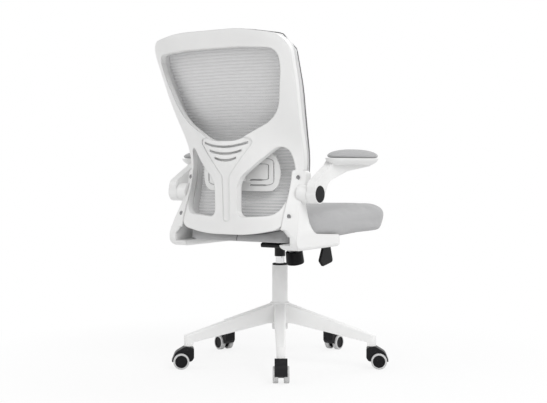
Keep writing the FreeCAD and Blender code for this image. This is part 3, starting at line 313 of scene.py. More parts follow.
@dataclass(frozen=True)
class BareSteel:
    """Plated or polished steel with faint streaks round or along the piece."""

    name: str
    colour: Colour
    rough: float
    streak: float = 900.0
    streak_detail: float = 2.0
    streak_rough: float = 0.1
    stain: float = 40.0
    stain_tones: Pair = (0.92, 1.0)

    def material(self) -> Material:
        """Build the material.

        Returns:
            The material.
        """
        tree = ShaderTree.named(self.name)
        along = {"W": tree.place("Z"), "Scale": self.streak, "Detail": self.streak_detail}
        lines = tree.node("ShaderNodeTexNoise", {"noise_dimensions": "1D"}, along, "Fac")
        stain = tree.cloud(self.stain)
        colour = tree.tones(stain, self.colour, self.stain_tones)
        rough = self.rough + self.streak_rough * lines * stain
        return tree.principled(Base_Color=colour, Metallic=1.0, Roughness=rough)


@dataclass(frozen=True)
class WovenCloth:
    """Close woven upholstery cloth of heathered yarn."""

    name: str
    colour: Colour
    pitch: float = 0.0026
    relief: float = 0.0005
    relief_share: float = 0.7
    slant: float = 0.8
    heather: float = 620.0
    heather_detail: float = 4.0
    heather_tones: Pair = (0.82, 1.16)
    heather_height: float = 0.5
    heather_rough: float = 0.12
    gap_tone: float = 0.66
    gap_share: float = 0.35
    rough: float = 0.82
    sheen: float = 0.25
    sheen_rough: float = 0.45
    shine: float = 0.25

    def material(self) -> Material:
        """Build the material.

        Returns:
            The material.
        """
        tree = ShaderTree.named(self.name)
        turn = 2.0 * math.pi / self.pitch
        x, y, z = (tree.place(axis) for axis in "XYZ")
        warp = ((x + self.slant * z) * turn).sine()
        weft = ((y + self.slant * z) * turn).sine()
        weave = 0.5 + 0.5 * warp * weft
        heather = tree.cloud(self.heather, self.heather_detail)
        shade = tree.tones(heather, self.colour, self.heather_tones)
        shade = tree.mix(weave * self.gap_share, shade, shaded(self.colour, self.gap_tone))
        normal = tree.bump(weave + self.heather_height * heather, self.relief, self.relief_share)
        return tree.principled(Base_Color=shade, Roughness=self.rough + self.heather_rough * heather,
                               Normal=normal, Sheen_Weight=self.sheen, Sheen_Roughness=self.sheen_rough,
                               Specular_IOR_Level=self.shine)


@dataclass(frozen=True)
class StretchMesh:
    """Open knitted mesh with raised cross ribs."""

    name: str
    colour: Colour
    rib: float = 0.0094
    rib_tones: Pair = (0.8, 1.1)
    rib_solid: float = 0.75
    drift: float = 0.006
    drift_scale: float = 5.0
    drift_detail: float = 1.0
    hole: float = 0.0017
    hole_from: float = 0.2
    open_share: float = 0.3
    knit_height: float = 0.3
    relief: float = 0.0008
    relief_share: float = 0.6
    yarn: float = 500.0
    yarn_tone: float = 0.86
    yarn_share: float = 0.2
    yarn_rough: float = 0.15
    rough: float = 0.7
    sheen: float = 0.15

    def material(self) -> Material:
        """Build the material.

        Returns:
            The material.
        """
        tree = ShaderTree.named(self.name)
        x, z = tree.place("X"), tree.place("Z")
        drift = (tree.cloud(self.drift_scale, self.drift_detail) - 0.5) * self.drift
        ribs = 0.5 + 0.5 * ((z + drift) * (2.0 * math.pi / self.rib)).sine()
        turn = 2.0 * math.pi / self.hole
        knit = (x * turn).sine() * (z * turn).sine()
        yarn = tree.cloud(self.yarn)
        shade = tree.tones(ribs, self.colour, self.rib_tones)
        shade = tree.mix(yarn * self.yarn_share, shade, shaded(self.colour, self.yarn_tone))
        gap = (knit > self.hole_from) * (self.rib_solid - ribs > 0.0) * self.open_share
        normal = tree.bump(ribs + self.knit_height * knit, self.relief, self.relief_share)
        return tree.principled(Base_Color=shade, Roughness=self.rough + self.yarn_rough * yarn, Alpha=1 - gap,
                               Normal=normal, Sheen_Weight=self.sheen)


@dataclass(frozen=True)
class TyreRubber:
    """Soft grey tread with dust in its pores."""

    name: str
    colour: Colour
    rough: float = 0.5
    dust: float = 180.0
    dust_detail: float = 4.0
    dust_tones: Pair = (0.86, 1.08)
    dust_rough: float = 0.25
    relief: float = 0.0002
    relief_share: float = 0.4
    edge: float = 0.0006

    def material(self) -> Material:
        """Build the material.

        Returns:
            The material.
        """
        tree = ShaderTree.named(self.name)
        dust = tree.cloud(self.dust, self.dust_detail)
        colour = tree.tones(dust, self.colour, self.dust_tones)
        normal = tree.bump(dust, self.relief, self.relief_share, self.edge)
        rough = self.rough + self.dust_rough * dust
        return tree.principled(Base_Color=colour, Roughness=rough, Normal=normal)


Finish = Union[MouldedPlastic, PaintedSteel, BareSteel, WovenCloth, StretchMesh, TyreRubber]


def built(finish: Finish) -> Material:
    """A field that holds the material of a finish."""
    return field(default_factory=finish.material)


@dataclass
class Finishes:
    """Every finish of the chair, built once."""

    white: Material = built(MouldedPlastic("white_moulding", WHITE))
    # The base star's white moulding, made lighter than the frame's white to paint light on it.
    base: Material = built(MouldedPlastic("bright_moulding", PAINTED_LIGHT_WHITE))
    shell: Material = built(MouldedPlastic("soft_edged_moulding", WHITE, edge=0.005))
    ring: Material = built(MouldedPlastic("pale_grey_moulding", (0.70, 0.70, 0.70), Gloss.MATT))
    black: Material = built(MouldedPlastic("black_moulding", BLACK, wear=1.6, shine=0.12))
    # White powder coat of the column tube, made lighter to paint light on it under the seat.
    white_paint: Material = built(PaintedSteel("white_coat", PAINTED_LIGHT_WHITE))
    black_paint: Material = built(PaintedSteel("black_coat", BLACK, shine=0.25))
    zinc: Material = built(BareSteel("zinc_plate", (0.55, 0.55, 0.56), rough=0.32))
    # Screw steel made darker than its own tone, so that the heads also paint the shade of the recesses round
    # them.
    screw: Material = built(BareSteel("dark_screw_steel", (0.28, 0.28, 0.285), rough=0.36))
    # Dark grey that paints the shade inside the lumbar pad's grooves, on tubes laid along them.
    groove_shade: Material = built(MouldedPlastic("shaded_groove", (0.34, 0.34, 0.345), Gloss.MATT))
    chrome: Material = built(BareSteel("bright_chrome", (0.78, 0.78, 0.79), rough=0.08))
    seat_cloth: Material = built(WovenCloth("seat_cloth", (0.48, 0.48, 0.485)))
    lining: Material = built(WovenCloth("seat_lining", (0.30, 0.30, 0.305), pitch=0.0016))
    pad_cloth: Material = built(WovenCloth("arm_pad_cloth", (0.46, 0.46, 0.465), pitch=0.0022))
    thread: Material = built(WovenCloth("seam_thread", (0.12, 0.12, 0.125), pitch=0.0009, relief=0.0002))
    mesh: Material = built(StretchMesh("stretch_mesh", (0.72, 0.72, 0.725)))
    welt: Material = built(WovenCloth("edge_welt", (0.13, 0.13, 0.135), pitch=0.0012, relief=0.0003))
    tyre: Material = built(TyreRubber("pale_tyre", (0.62, 0.62, 0.62)))


@dataclass
class Outline:
    """Closed outline of straight runs and rounded corners in a plane, each corner with its radius."""

    corners: list[Triple]
    corner_steps: int = 12
    longest_reach: float = 0.49

    def points(self, count: int) -> list[Vector]:
        """Points spaced evenly round the outline.

        Args:
            count: How many points.

        Returns:
            Points with the plane's two coordinates in x and y.
        """
        rough: list[Vector] = []
        places = [Vector(corner[:2]) for corner in self.corners]
        for index, here in enumerate(places):
            back = places[index - 1] - here
            ahead = places[(index + 1) % len(places)] - here
            half = back.angle(ahead) / 2
            room = self.longest_reach * min(back.length, ahead.length)
            reach = min(self.corners[index][2] / math.tan(half), room)
            start, end = here + back.normalized() * reach, here + ahead.normalized() * reach
            for step in range(self.corner_steps + 1):
                share = step / self.corner_steps
                rough.append(start.lerp(here, share).lerp(here.lerp(end, share), share))
        return self._even(rough, count)

    @staticmethod
    def _even(rough: Sequence[Vector], count: int) -> list[Vector]:
        """Respace a closed run of points evenly by length.

        Args:
            rough: Points of the run, the first not repeated.
            count: How many points.

        Returns:
            The respaced points.
        """
        loop = list(rough) + [rough[0]]
        lengths = [0.0]
        for first, second in zip(loop, loop[1:]):
            lengths.append(lengths[-1] + (second - first).length)
        spaced = []
        at = 0
        for index in range(count):
            want = lengths[-1] * index / count
            while lengths[at + 1] < want:
                at += 1
            run = lengths[at + 1] - lengths[at]
            share = (want - lengths[at]) / run if run > 0 else 0.0
            spaced.append(loop[at].lerp(loop[at + 1], share))
        return spaced


def both_sides(corners: Sequence[Triple]) -> list[Triple]:
    """Corners of one side followed by their mirror images."""
    return list(corners) + [(-a, b, radius) for a, b, radius in reversed(corners)]


def full_turn(count: int) -> list[float]:
    """Angles spaced evenly round a full turn."""
    return [2 * math.pi * index / count for index in range(count)]


def crown_steps(step: int = 10) -> list[Pair]:
    """Shares of the climb and of the drawing in along a quarter round, every few degrees."""
    turns = [math.radians(angle) for angle in range(0, 90, step)]
    return [(math.sin(turn), 1 - math.cos(turn)) for turn in turns]


def clamped(share: float) -> float:
    """A share kept from 0 to 1."""
    return min(max(share, 0.0), 1.0)


class MeshShop:
    """Makes mesh objects from rings, profiles and paths."""

    # No path of the chair runs along this direction, so a tube's rings never twist over.
    TUBE_UP = Vector((0.31, 0.22, 0.92)).normalized()

    @staticmethod
    def add(name: str, vertices: Iterable[Vector], faces: Iterable[Sequence[int]],
            material: Material) -> Piece:
        """Add a smooth-shaded mesh object.

        Args:
            name: Name of the piece.
            vertices: Points in the row frame.
            faces: Corners of each face.
            material: Finish of the piece.

        Returns:
            The new object.
        """
        mesh = bpy.data.meshes.new(name)
        mesh.from_pydata([tuple(v) for v in vertices], [], [tuple(f) for f in faces])
        mesh.materials.append(material)
        mesh.polygons.foreach_set("use_smooth", [True] * len(mesh.polygons))
        made = bpy.data.objects.new(name, mesh)
        bpy.context.scene.collection.objects.link(made)
        return made

    @classmethod
    def rings(cls, name: str, rings: Sequence[Sequence[Vector]], material: Material,
              capped: bool = True, closed: bool = False) -> Piece:
        """Skin a stack of rings of equal length.

        Args:
            name: Name of the piece.
            rings: Rings of points, in order.
            material: Finish of the piece.
            capped: Close both ends with a face fan.
            closed: Join the last ring to the first.

        Returns:
            The new object.
        """
        count = len(rings[0])
        vertices = [point for ring in rings for point in ring]
        faces = []
        spans = len(rings) if closed else len(rings) - 1
        for row in range(spans):
            low, high = row * count, (row + 1) % len(rings) * count
            for index in range(count):
                other = (index + 1) % count
                faces.append((low + index, low + other, high + other, high + index))
        if capped:
            for ring, way in ((0, -1), (len(rings) - 1, 1)):
                centre = sum((Vector(p) for p in rings[ring]), Vector((0, 0, 0))) / count
                vertices.append(centre)
                hub = len(vertices) - 1
                for index in range(count):
                    pair = (ring * count + index, ring * count + (index + 1) % count)
                    faces.append((*pair[::way], hub))
        return cls.add(name, vertices, faces, material)

    @classmethod
    def tube(cls, name: str, path: Sequence[Vector], radius: float, material: Material,
             closed: bool = False, sides: int = 8) -> Piece:
        """Round tube along a run of points.

        Args:
            name: Name of the piece.
            path: Points of the tube's middle line, in order.
            radius: Radius of the tube.
            material: Finish of the piece.
            closed: Join the end to the start.
            sides: Flat sides of the tube.

        Returns:
            The new object.
        """
        rings = []
        total = len(path)
        for index, point in enumerate(path):
            before = path[index - 1] if index or closed else point
            after = path[(index + 1) % total] if index + 1 < total or closed else point
            along = (after - before).normalized()
            across = along.cross(cls.TUBE_UP).normalized()
            lift = across.cross(along)
            rings.append([point + radius * (math.cos(turn) * across + math.sin(turn) * lift)
                          for turn in full_turn(sides)])
        return cls.rings(name, rings, material, not closed, closed)

    @classmethod
    def lathe(cls, name: str, profile: Sequence[Pair], place: Matrix, material: Material,
              sides: int = 28) -> Piece:
        """Turn a profile about a placed Z axis.

        Args:
            name: Name of the piece.
            profile: Radius and height of each ring, in order.
            place: Matrix that places the axis.
            material: Finish of the piece.
            sides: Points of each ring.

        Returns:
            The new object.
        """
        rings = []
        for radius, height in profile:
            rings.append([place @ Vector((radius * math.cos(turn), radius * math.sin(turn), height))
                          for turn in full_turn(sides)])
        return cls.rings(name, rings, material)


class Probe:
    """Finds where a straight look from behind meets a piece."""

    FAR_BEHIND = 2.0

    def __init__(self, thing: Piece) -> None:
        """Index the faces of a piece.

        Args:
            thing: Piece that sits in the row frame.
        """
        mesh = bmesh.new()
        mesh.from_mesh(thing.data)
        self.tree = BVHTree.FromBMesh(mesh)
        mesh.free()

    def rear(self, x: float, z: float) -> Union[Vector, None]:
        """First point met from behind."""
        return self.tree.ray_cast(Vector((x, self.FAR_BEHIND, z)), Vector((0, -1, 0)))[0]


@dataclass
class Upholsterer:
    """Swells a padded shape under its cover with a short cloth run."""

    voxel: float = 0.005
    pressure: float = 4.0
    frames: int = 20
    cap: float = 0.007
    stiffness: float = 25.0
    bending: float = 4.0
    smoothing: int = 6

    def swell(self, thing: Piece, held: Callable[[Vector], bool]) -> None:
        """Remesh the shape and let air pressure round it, with some points held.

        Args:
            thing: Padded piece in the row frame.
            held: Says which points stay where they are.
        """
        remesh = thing.modifiers.new("even", "REMESH")
        remesh.mode = "VOXEL"
        remesh.voxel_size = self.voxel
        remesh.use_smooth_shade = True
        self._apply(thing)
        self._inflate(thing, held)
        smooth = thing.modifiers.new("smooth", "CORRECTIVE_SMOOTH")
        smooth.iterations = self.smoothing
        smooth.use_only_smooth = True
        self._apply(thing)
        finer = thing.modifiers.new("finer", "SUBSURF")
        finer.levels = finer.render_levels = 1

    def _inflate(self, thing: Piece, held: Callable[[Vector], bool]) -> None:
        """Run the cloth and keep its result within the cap.

        Args:
            thing: Padded piece in the row frame.
            held: Says which points stay where they are.
        """
        rest = [vertex.co.copy() for vertex in thing.data.vertices]
        pins = thing.vertex_groups.new(name="held")
        pins.add([index for index, place in enumerate(rest) if held(place)], 1.0, "REPLACE")
        cloth = thing.modifiers.new("cover", "CLOTH")
        cloth.settings.vertex_group_mass = "held"
        cloth.settings.use_pressure = True
        cloth.settings.uniform_pressure_force = self.pressure
        cloth.settings.effector_weights.gravity = 0.0
        cloth.settings.tension_stiffness = self.stiffness
        cloth.settings.compression_stiffness = self.stiffness
        cloth.settings.bending_stiffness = self.bending
        cloth.point_cache.frame_start = 1
        cloth.point_cache.frame_end = self.frames
        scene = bpy.context.scene
        for number in range(1, self.frames + 1):
            scene.frame_set(number)
        self._apply(thing)
        for vertex, place in zip(thing.data.vertices, rest):
            shift = vertex.co - place
            if shift.length > self.cap:
                vertex.co = place + shift.normalized() * self.cap
        thing.vertex_groups.clear()
        scene.frame_set(1)

    @staticmethod
    def _apply(thing: Piece) -> None:
        """Turn the modified mesh into the piece's own mesh.

        Args:
            thing: Piece with modifiers.
        """
        graph = bpy.context.evaluated_depsgraph_get()
        graph.update()
        finished = bpy.data.meshes.new_from_object(thing.evaluated_get(graph))
        thing.modifiers.clear()
        old = thing.data
        thing.data = finished
        bpy.data.meshes.remove(old)


def dress(material: Material, *names: str) -> None:
    """Give CAD nodes a finish.

    Args:
        material: The finish.
        names: Nodes that take it.
    """
    for name in names:
        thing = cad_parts[name]
        thing.data.materials.clear()
        thing.data.materials.append(material)
        log.info("dressed %s with %s", name, material.name)


@dataclass
class Base:
    """Five-legged base, its casters and the gas lift."""

    legs: int = 5

    def build(self, finishes: Finishes) -> None:
        """Dress the base and the lift.

        Args:
            finishes: Finishes of the chair.
        """
        # The base star and the column tube take the lighter whites that paint light on them.
        dress(finishes.base, "base_star")
        dress(finishes.white_paint, "column_tube")
        dress(finishes.black, "column_bush", "gas_valve")
        dress(finishes.chrome, "gas_cylinder")
        dress(finishes.zinc, "piston_rod", "swivel_bearing", "caster_stems")
        for number in range(1, self.legs + 1):
            dress(finishes.black, f"caster_{number}_hood", f"caster_{number}_wheels")
            dress(finishes.tyre, f"caster_{number}_tyres")
            dress(finishes.zinc, f"caster_{number}_axle")


@dataclass
class Mechanism:
    """Rocking tray, tension knob and height lever."""

    knob_base: Triple = (0.0, -0.0927, 0.3138)
    knob_lean: float = 12.0
    coil_radius: float = 0.017
    coil_wire: float = 0.0024
    coil_low: float = 0.0107
    coil_high: float = 0.0548
    coil_bend: float = 0.032
    coil_turns: int = 5
    turn_steps: int = 24

    def build(self, finishes: Finishes) -> None:
        """Make the tension coil and dress the mechanism.

        Args:
            finishes: Finishes of the chair.
        """
        dress(finishes.black_paint, "tilt_housing", "seat_plate", "lever_rod", "seat_bolts")
        dress(finishes.black, "tension_knob", "lever_bush", "lever_paddle")
        dress(finishes.zinc, "tilt_pin", "tension_bolt")
        place = Matrix.Translation(self.knob_base) @ Matrix.Rotation(math.radians(-self.knob_lean), 4, "X")
        path = []
        total = self.coil_turns * self.turn_steps
        for step in range(total + 1):
            turn = 2 * math.pi * step / self.turn_steps
            climb = self.coil_low + (self.coil_high - self.coil_low) * step / total
            at = Vector((self.coil_radius * math.cos(turn), self.coil_radius * math.sin(turn), climb))
            path.append(place @ at)
        coil = MeshShop.tube("tension_coil", path, self.coil_wire, finishes.zinc)
        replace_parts(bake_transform(coil), "tension_spring")
        log.info("made the tension coil")


@dataclass
class Seat:
    """Padded seat on its board."""

    height: float = 0.4196
    lean: float = 3.06
    thick: float = 0.075
    front: float = 0.311
    front_half: float = 0.252
    front_round: float = 0.080
    middle_y: float = 0.020
    middle_half: float = 0.238
    middle_round: float = 0.380
    rear: float = 0.244
    rear_half: float = 0.203
    rear_round: float = 0.055
    rear_lean: float = 0.018
    belly: float = 0.044
    crown_side: float = 0.046
    crown_front: float = 0.030
    crown_rear: float = 0.112
    # How far the hem, the lower edge and the flank are drawn in from the sides, the front and the rear.
    hem: Triple = (0.060, 0.060, 0.050)
    edge: Triple = (0.018, 0.020, 0.005)
    flank: Triple = (0.006, 0.006, 0.005)
    flank_share: float = 0.35
    underside: float = 0.0005
    lowest: float = 0.0004
    held_below: float = 0.008
    front_droop: float = 0.006
    droop_from: float = 0.09
    droop_run: float = 0.14
    droop_below: float = 0.04
    # Depth of the hollows in metres, and how closely they follow one another.
    hollows: tuple[Pair, ...] = ((0.0012, 9.0), (0.0004, 38.0))
    hollows_above: float = 0.03
    slack: float = 0.001
    ring_points: int = 150
    seam_radius: float = 0.0011
    seam_proud: float = 0.0002
    seam_drop: float = 0.009
    seam_step: float = 0.002
    seam_points: int = 17
    cover: Upholsterer = field(default_factory=Upholsterer)

    def build(self, finishes: Finishes) -> None:
        """Make the cushion with its rear seam, and dress the board.

        Args:
            finishes: Finishes of the chair.
        """
        dress(finishes.lining, "seat_board")
        cushion = MeshShop.rings("seat_cover", self._rings(), finishes.seat_cloth)
        level = self._placing().inverted()
        self.cover.swell(cushion, lambda point: (level @ point).z < self.held_below)
        self._settle(cushion)
        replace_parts(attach(cushion, "seat"), "seat_cushion")
        seam = self._seam(cushion, finishes.thread)
        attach(seam, "seat")
        log.info("made the seat cover with its seam")

    def _placing(self) -> Matrix:
        """Matrix from the level seat to its lean and height."""
        return Matrix.Translation((0, 0, self.height)) @ Matrix.Rotation(math.radians(-self.lean), 4, "X")

    def _ring(self, z: float, side: float, front: float, rear: float) -> list[Vector]:
        """One level ring of the cushion.

        Args:
            z: Height over the level seat's underside.
            side: How far the ring is drawn in from the sides.
            front: How far it is drawn in from the front.
            rear: How far it is drawn in from the rear.

        Returns:
            Points of the ring in the row frame.
        """
        outline = Outline(both_sides([
            (self.front_half - side, front - self.front, self.front_round),
            (self.middle_half - side, self.middle_y, self.middle_round),
            (self.rear_half - side, self.rear - rear, self.rear_round),
        ]))
        place = self._placing()
        return [place @ Vector((p.x, p.y, z)) for p in outline.points(self.ring_points)]

    def _rings(self) -> list[list[Vector]]:
        """Rings from the underside over the belly to the crown.

        Returns:
            The rings, lowest first.
        """
        less = self.slack
        rings = [
            self._ring(self.underside, *self.hem),
            self._ring(self.underside, *(drawn + less for drawn in self.edge)),
            self._ring(self.flank_share * self.belly, *(drawn + less for drawn in self.flank)),
        ]
        for climb, drawn in crown_steps():
            z = self.belly + (self.thick - less - self.belly) * climb
            rear = self.rear_lean + self.crown_rear * drawn
            side, front = self.crown_side * drawn, self.crown_front * drawn
            rings.append(self._ring(z, less + side, less + front, less + rear))
        return rings

    def _settle(self, cushion: Piece) -> None:
        """Keep the cover flat where it is drawn under, and ease it with faint hollows above.

        Args:
            cushion: The seat cover.
        """
        place = self._placing()
        level = place.inverted()
        for vertex in cushion.data.vertices:
            point = level @ vertex.co
            point.z = max(point.z, self.lowest)
            forward = clamped((-point.y - self.droop_from) / self.droop_run)
            point.z -= self.front_droop * forward * clamped(1.0 - point.z / self.droop_below)
            if point.z > self.hollows_above:
                point.z += sum(depth * noise.noise(point * scale) for depth, scale in self.hollows)
            vertex.co = place @ point

    def _seam(self, cushion: Piece, thread: Material) -> Piece:
        """Upright seam in the middle of the rear side.

        Args:
            cushion: The seat cover.
            thread: Finish of the seam.

        Returns:
            The seam.
        """
        probe = Probe(cushion)
        heights = [self.height - self.seam_drop + self.seam_step * step for step in range(self.seam_points)]
        found = [probe.rear(0.0, z) for z in heights]
        path = [point + Vector((0, self.seam_proud, 0)) for point in found if point is not None]
        return MeshShop.tube("seat_rear_seam", path, self.seam_radius, thread)


@dataclass
class Back:
    """Moulded frame with its mesh, lumbar pad and screws."""

    bottom: float = 0.432
    bottom_half: float = 0.080
    low_half: float = 0.211
    low_draw: float = 0.016
    low_rise: float = 0.022
    hip_rise: float = 0.170
    waist: float = 0.720
    waist_half: float = 0.217
    shoulder_draw: float = 0.010
    shoulder_drop: float = 0.170
    top: float = 1.033
    top_half: float = 0.250
    corner_out: float = 0.001
    corner_drop: float = 0.022
    head_half: float = 0.110
    # Radii of the outline's corners from the bottom to the top.
    rounds: tuple[float, ...] = (0.500, 0.055, 0.300, 0.500, 0.700, 0.054, 0.420)
    mesh_inset: float = 0.0045
    mesh_reach: float = 0.995
    rings: int = 46
    spokes: int = 220
    welt_radius: float = 0.0015
    welt_outset: float = 0.0012
    welt_inset: float = 0.0006
    welt_forward: float = 0.0012
    screw_places: tuple[Pair, ...] = ((0.202, 0.490), (0.202, 0.604))
    # Radius and height of a screw head from its recess to its rim; the flat rim reaches past the screw and
    # paints the shade of the recess round it.
    screw_profile: tuple[Pair, ...] = (
        (0.0030, 0.0002), (0.0034, 0.0018), (0.0056, 0.0016), (0.0068, 0.0009), (0.0071, 0.0))
    groove_radius: float = 0.0011
    groove_middle: float = 0.620
    groove_steps: int = 8
    # Each groove's reach sideways and from the middle height, from its nearer to its further end.
    grooves: tuple[tuple[float, float, float, float], ...] = (
        (0.084, 0.104, 0.020, 0.024), (0.096, 0.122, 0.029, 0.040))

    def build(self, finishes: Finishes) -> None:
        """Make the mesh with its welt, dark tubes that paint the shade in the lumbar grooves, and screw heads
        whose dark rims paint the shade of their recesses, and dress the mouldings.

        Args:
            finishes: Finishes of the chair.
        """
        dress(finishes.white, "lumbar_pad", "lumbar_slider")
        dress(finishes.shell, "back_frame", "arm_bracket_left", "arm_bracket_right")
        dress(finishes.ring, "mesh_ring")
        dress(finishes.black_paint, "back_screws")
        probe = Probe(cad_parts["back_mesh"])
        sheet = self._sheet(probe, finishes.mesh)
        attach(sheet, "seat")
        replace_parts(sheet, "back_mesh")
        welt = self._welt(probe, finishes.welt)
        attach(welt, "seat")
        self._screw_heads(finishes.screw)
        self._lumbar_grooves(finishes.groove_shade)
        log.info("made the mesh, its welt, the lumbar grooves and the screw heads")

    def outline(self, inset: float) -> Outline:
        """Outer outline of the back, drawn in evenly.

        Args:
            inset: How far it is drawn in.

        Returns:
            The outline in X and Z.
        """
        places = [
            (self.bottom_half, self.bottom + inset),
            (self.low_half - inset - self.low_draw, self.bottom + self.low_rise + inset),
            (self.low_half - inset, self.bottom + self.hip_rise),
            (self.waist_half - inset, self.waist),
            (self.top_half - self.shoulder_draw - inset, self.top - self.shoulder_drop),
            (self.top_half + self.corner_out - inset, self.top - self.corner_drop - inset),
            (self.head_half, self.top - inset),
        ]
        return Outline(both_sides([(x, z, radius) for (x, z), radius in zip(places, self.rounds)]))

    def _sheet(self, probe: Probe, material: Material) -> Piece:
        """One bowed sheet from its middle out to the ring.

        Args:
            probe: Finds the CAD mesh.
            material: Finish of the sheet.

        Returns:
            The sheet.
        """
        middle = Vector((0.0, 0.5 * (self.bottom + self.top)))
        edge = self.outline(self.mesh_inset).points(self.spokes)
        vertices: list[Vector] = []
        for step in range(1, self.rings + 1):
            for point in edge:
                at = middle.lerp(point, self.mesh_reach * step / self.rings)
                found = probe.rear(at.x, at.y)
                vertices.append(found if found else Vector((at.x, vertices[-1].y, at.y)))
        vertices.append(probe.rear(middle.x, middle.y))
        hub = len(vertices) - 1
        count = self.spokes
        faces = [(index, (index + 1) % count, hub) for index in range(count)]
        for row in range(self.rings - 1):
            for index in range(count):
                other = (index + 1) % count
                faces.append((row * count + index, (row + 1) * count + index,
                              (row + 1) * count + other, row * count + other))
        return MeshShop.add("back_stretch_mesh", vertices, faces, material)

    def _welt(self, probe: Probe, material: Material) -> Piece:
        """Dark welt round the edge of the mesh.

        Args:
            probe: Finds the CAD mesh.
            material: Finish of the welt.

        Returns:
            The welt.
        """
        inner = self.outline(self.mesh_inset + self.welt_inset).points(self.spokes)
        outer = self.outline(-self.welt_outset).points(self.spokes)
        path = []
        for point, edge in zip(inner, outer):
            found = probe.rear(point.x, point.y)
            if found:
                path.append(Vector((edge.x, found.y - self.welt_forward, edge.y)))
        return MeshShop.tube("mesh_edge_welt", path, self.welt_radius, material, True)

    def _lumbar_grooves(self, material: Material) -> None:
        """Dark tubes along the rounded grooves that join the slots of the lumbar pad at its corners; their
        colour paints the shade inside the grooves.

        Args:
            material: Dark finish that paints the shade in the grooves.
        """
        probe = Probe(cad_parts["lumbar_pad"])
        for side in Side:
            for level, up in (("top", 1), ("bottom", -1)):
                for number, reach in enumerate(self.grooves, 1):
                    path = self._groove_path(probe, side, up, reach)
                    name = f"lumbar_groove_{side.name.lower()}_{level}_{number}"
                    # Each tube is dark grey to paint the shade in the groove that it lies along.
                    groove_shade = MeshShop.tube(name, path, self.groove_radius, material)
                    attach(groove_shade, "lumbar")

    def _groove_path(self, probe: Probe, side: Side, up: int, reach: tuple[float, ...]) -> list[Vector]:
        """Quarter of an oval on the rear of the lumbar pad.

        Args:
            probe: Finds the pad.
            side: Side of the chair.
            up: 1 over the middle height and -1 under it.
            reach: The groove's nearer and further end sideways, then from the middle height.

        Returns:
            Points on the pad.
        """
        near_x, far_x, near_z, far_z = reach
        found = []
        for step in range(self.groove_steps + 1):
            turn = math.radians(90 * step / self.groove_steps)
            x = side.value * (near_x + (far_x - near_x) * math.sin(turn))
            z = self.groove_middle + up * (near_z + (far_z - near_z) * math.cos(turn))
            found.append(probe.rear(x, z))
        return [point for point in found if point]

    def _screw_heads(self, material: Material) -> None:
        """Domed heads with a recess over the sunk screws; they are real screw steel, and their darker tone
        and wide rim paint the shade of the recesses round them.

        Args:
            material: Finish of the heads, darkened to paint the recess shade.
        """
        screws = Probe(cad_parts["back_screws"])
        facing_back = Matrix.Rotation(math.radians(-90), 4, "X")
        for side in Side:
            for number, (x, z) in enumerate(self.screw_places, 1):
                place = Matrix.Translation(screws.rear(side.value * x, z)) @ facing_back
                name = f"back_screw_head_{side.name.lower()}_{number}"
                head = MeshShop.lathe(name, self.screw_profile, place, material)
                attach(head, "seat")


@dataclass
class Arm:
    """One flip-up arm with its padded rest."""

    side: Side
    pad_x: float = 0.2745
    pad_y: float = 0.004
    pad_bottom: float = 0.662
    pad_thick: float = 0.028
    half_length: float = 0.141
    half_width: float = 0.039
    squareness: float = 2.35
    # How far the hem, the lower edge and the crown are drawn in from the ends and the sides.
    hem: Pair = (0.040, 0.016)
    edge: Pair = (0.008, 0.003)
    crown: Pair = (0.125, 0.031)
    rim_share: float = 0.2
    underside: float = 0.0003
    held_below: float = 0.004
    slack: float = 0.0015
    ring_points: int = 96
    cover: Upholsterer = field(
        default_factory=lambda: Upholsterer(voxel=0.004, pressure=3.0, frames=14, cap=0.0025))

    def build(self, finishes: Finishes) -> None:
        """Make the padded rest and dress the arm.

        Args:
            finishes: Finishes of the chair.
        """
        name = self.side.name.lower()
        dress(finishes.white, f"arm_{name}")
        dress(finishes.black, f"arm_cap_{name}")
        dress(finishes.zinc, f"arm_pin_{name}")
        pad = MeshShop.rings(f"arm_rest_{name}", self._rings(), finishes.pad_cloth)
        self.cover.swell(pad, lambda point: point.z < self.pad_bottom + self.held_below)
        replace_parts(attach(pad, f"arm_{name}"), f"arm_pad_{name}")
        log.info("made the %s arm rest", name)

    def _ring(self, z: float, shorter: float, narrower: float) -> list[Vector]:
        """One level oval of the pad.

        Args:
            z: Height of the oval.
            shorter: How far it is drawn in from the ends.
            narrower: How far it is drawn in from the sides.

        Returns:
            Points of the oval.
        """
        power = 2 / self.squareness
        points = []
        for turn in full_turn(self.ring_points):
            c, s = math.cos(turn), math.sin(turn)
            x = math.copysign(abs(c) ** power, c) * (self.half_width - self.slack - narrower)
            y = math.copysign(abs(s) ** power, s) * (self.half_length - self.slack - shorter)
            points.append(Vector((self.side.value * self.pad_x + x, self.pad_y + y, z)))
        return points

    def _rings(self) -> list[list[Vector]]:
        """Ovals from the flat underside over the rim to the crown.

        Returns:
            The ovals, lowest first.
        """
        foot = self.pad_bottom + self.underside
        rings = [self._ring(foot, *self.hem), self._ring(foot, *self.edge)]
        rim = self.pad_bottom + self.rim_share * self.pad_thick
        rise = (1 - self.rim_share) * self.pad_thick - self.slack
        for climb, drawn in crown_steps():
            rings.append(self._ring(rim + rise * climb, self.crown[0] * drawn, self.crown[1] * drawn))
        return rings


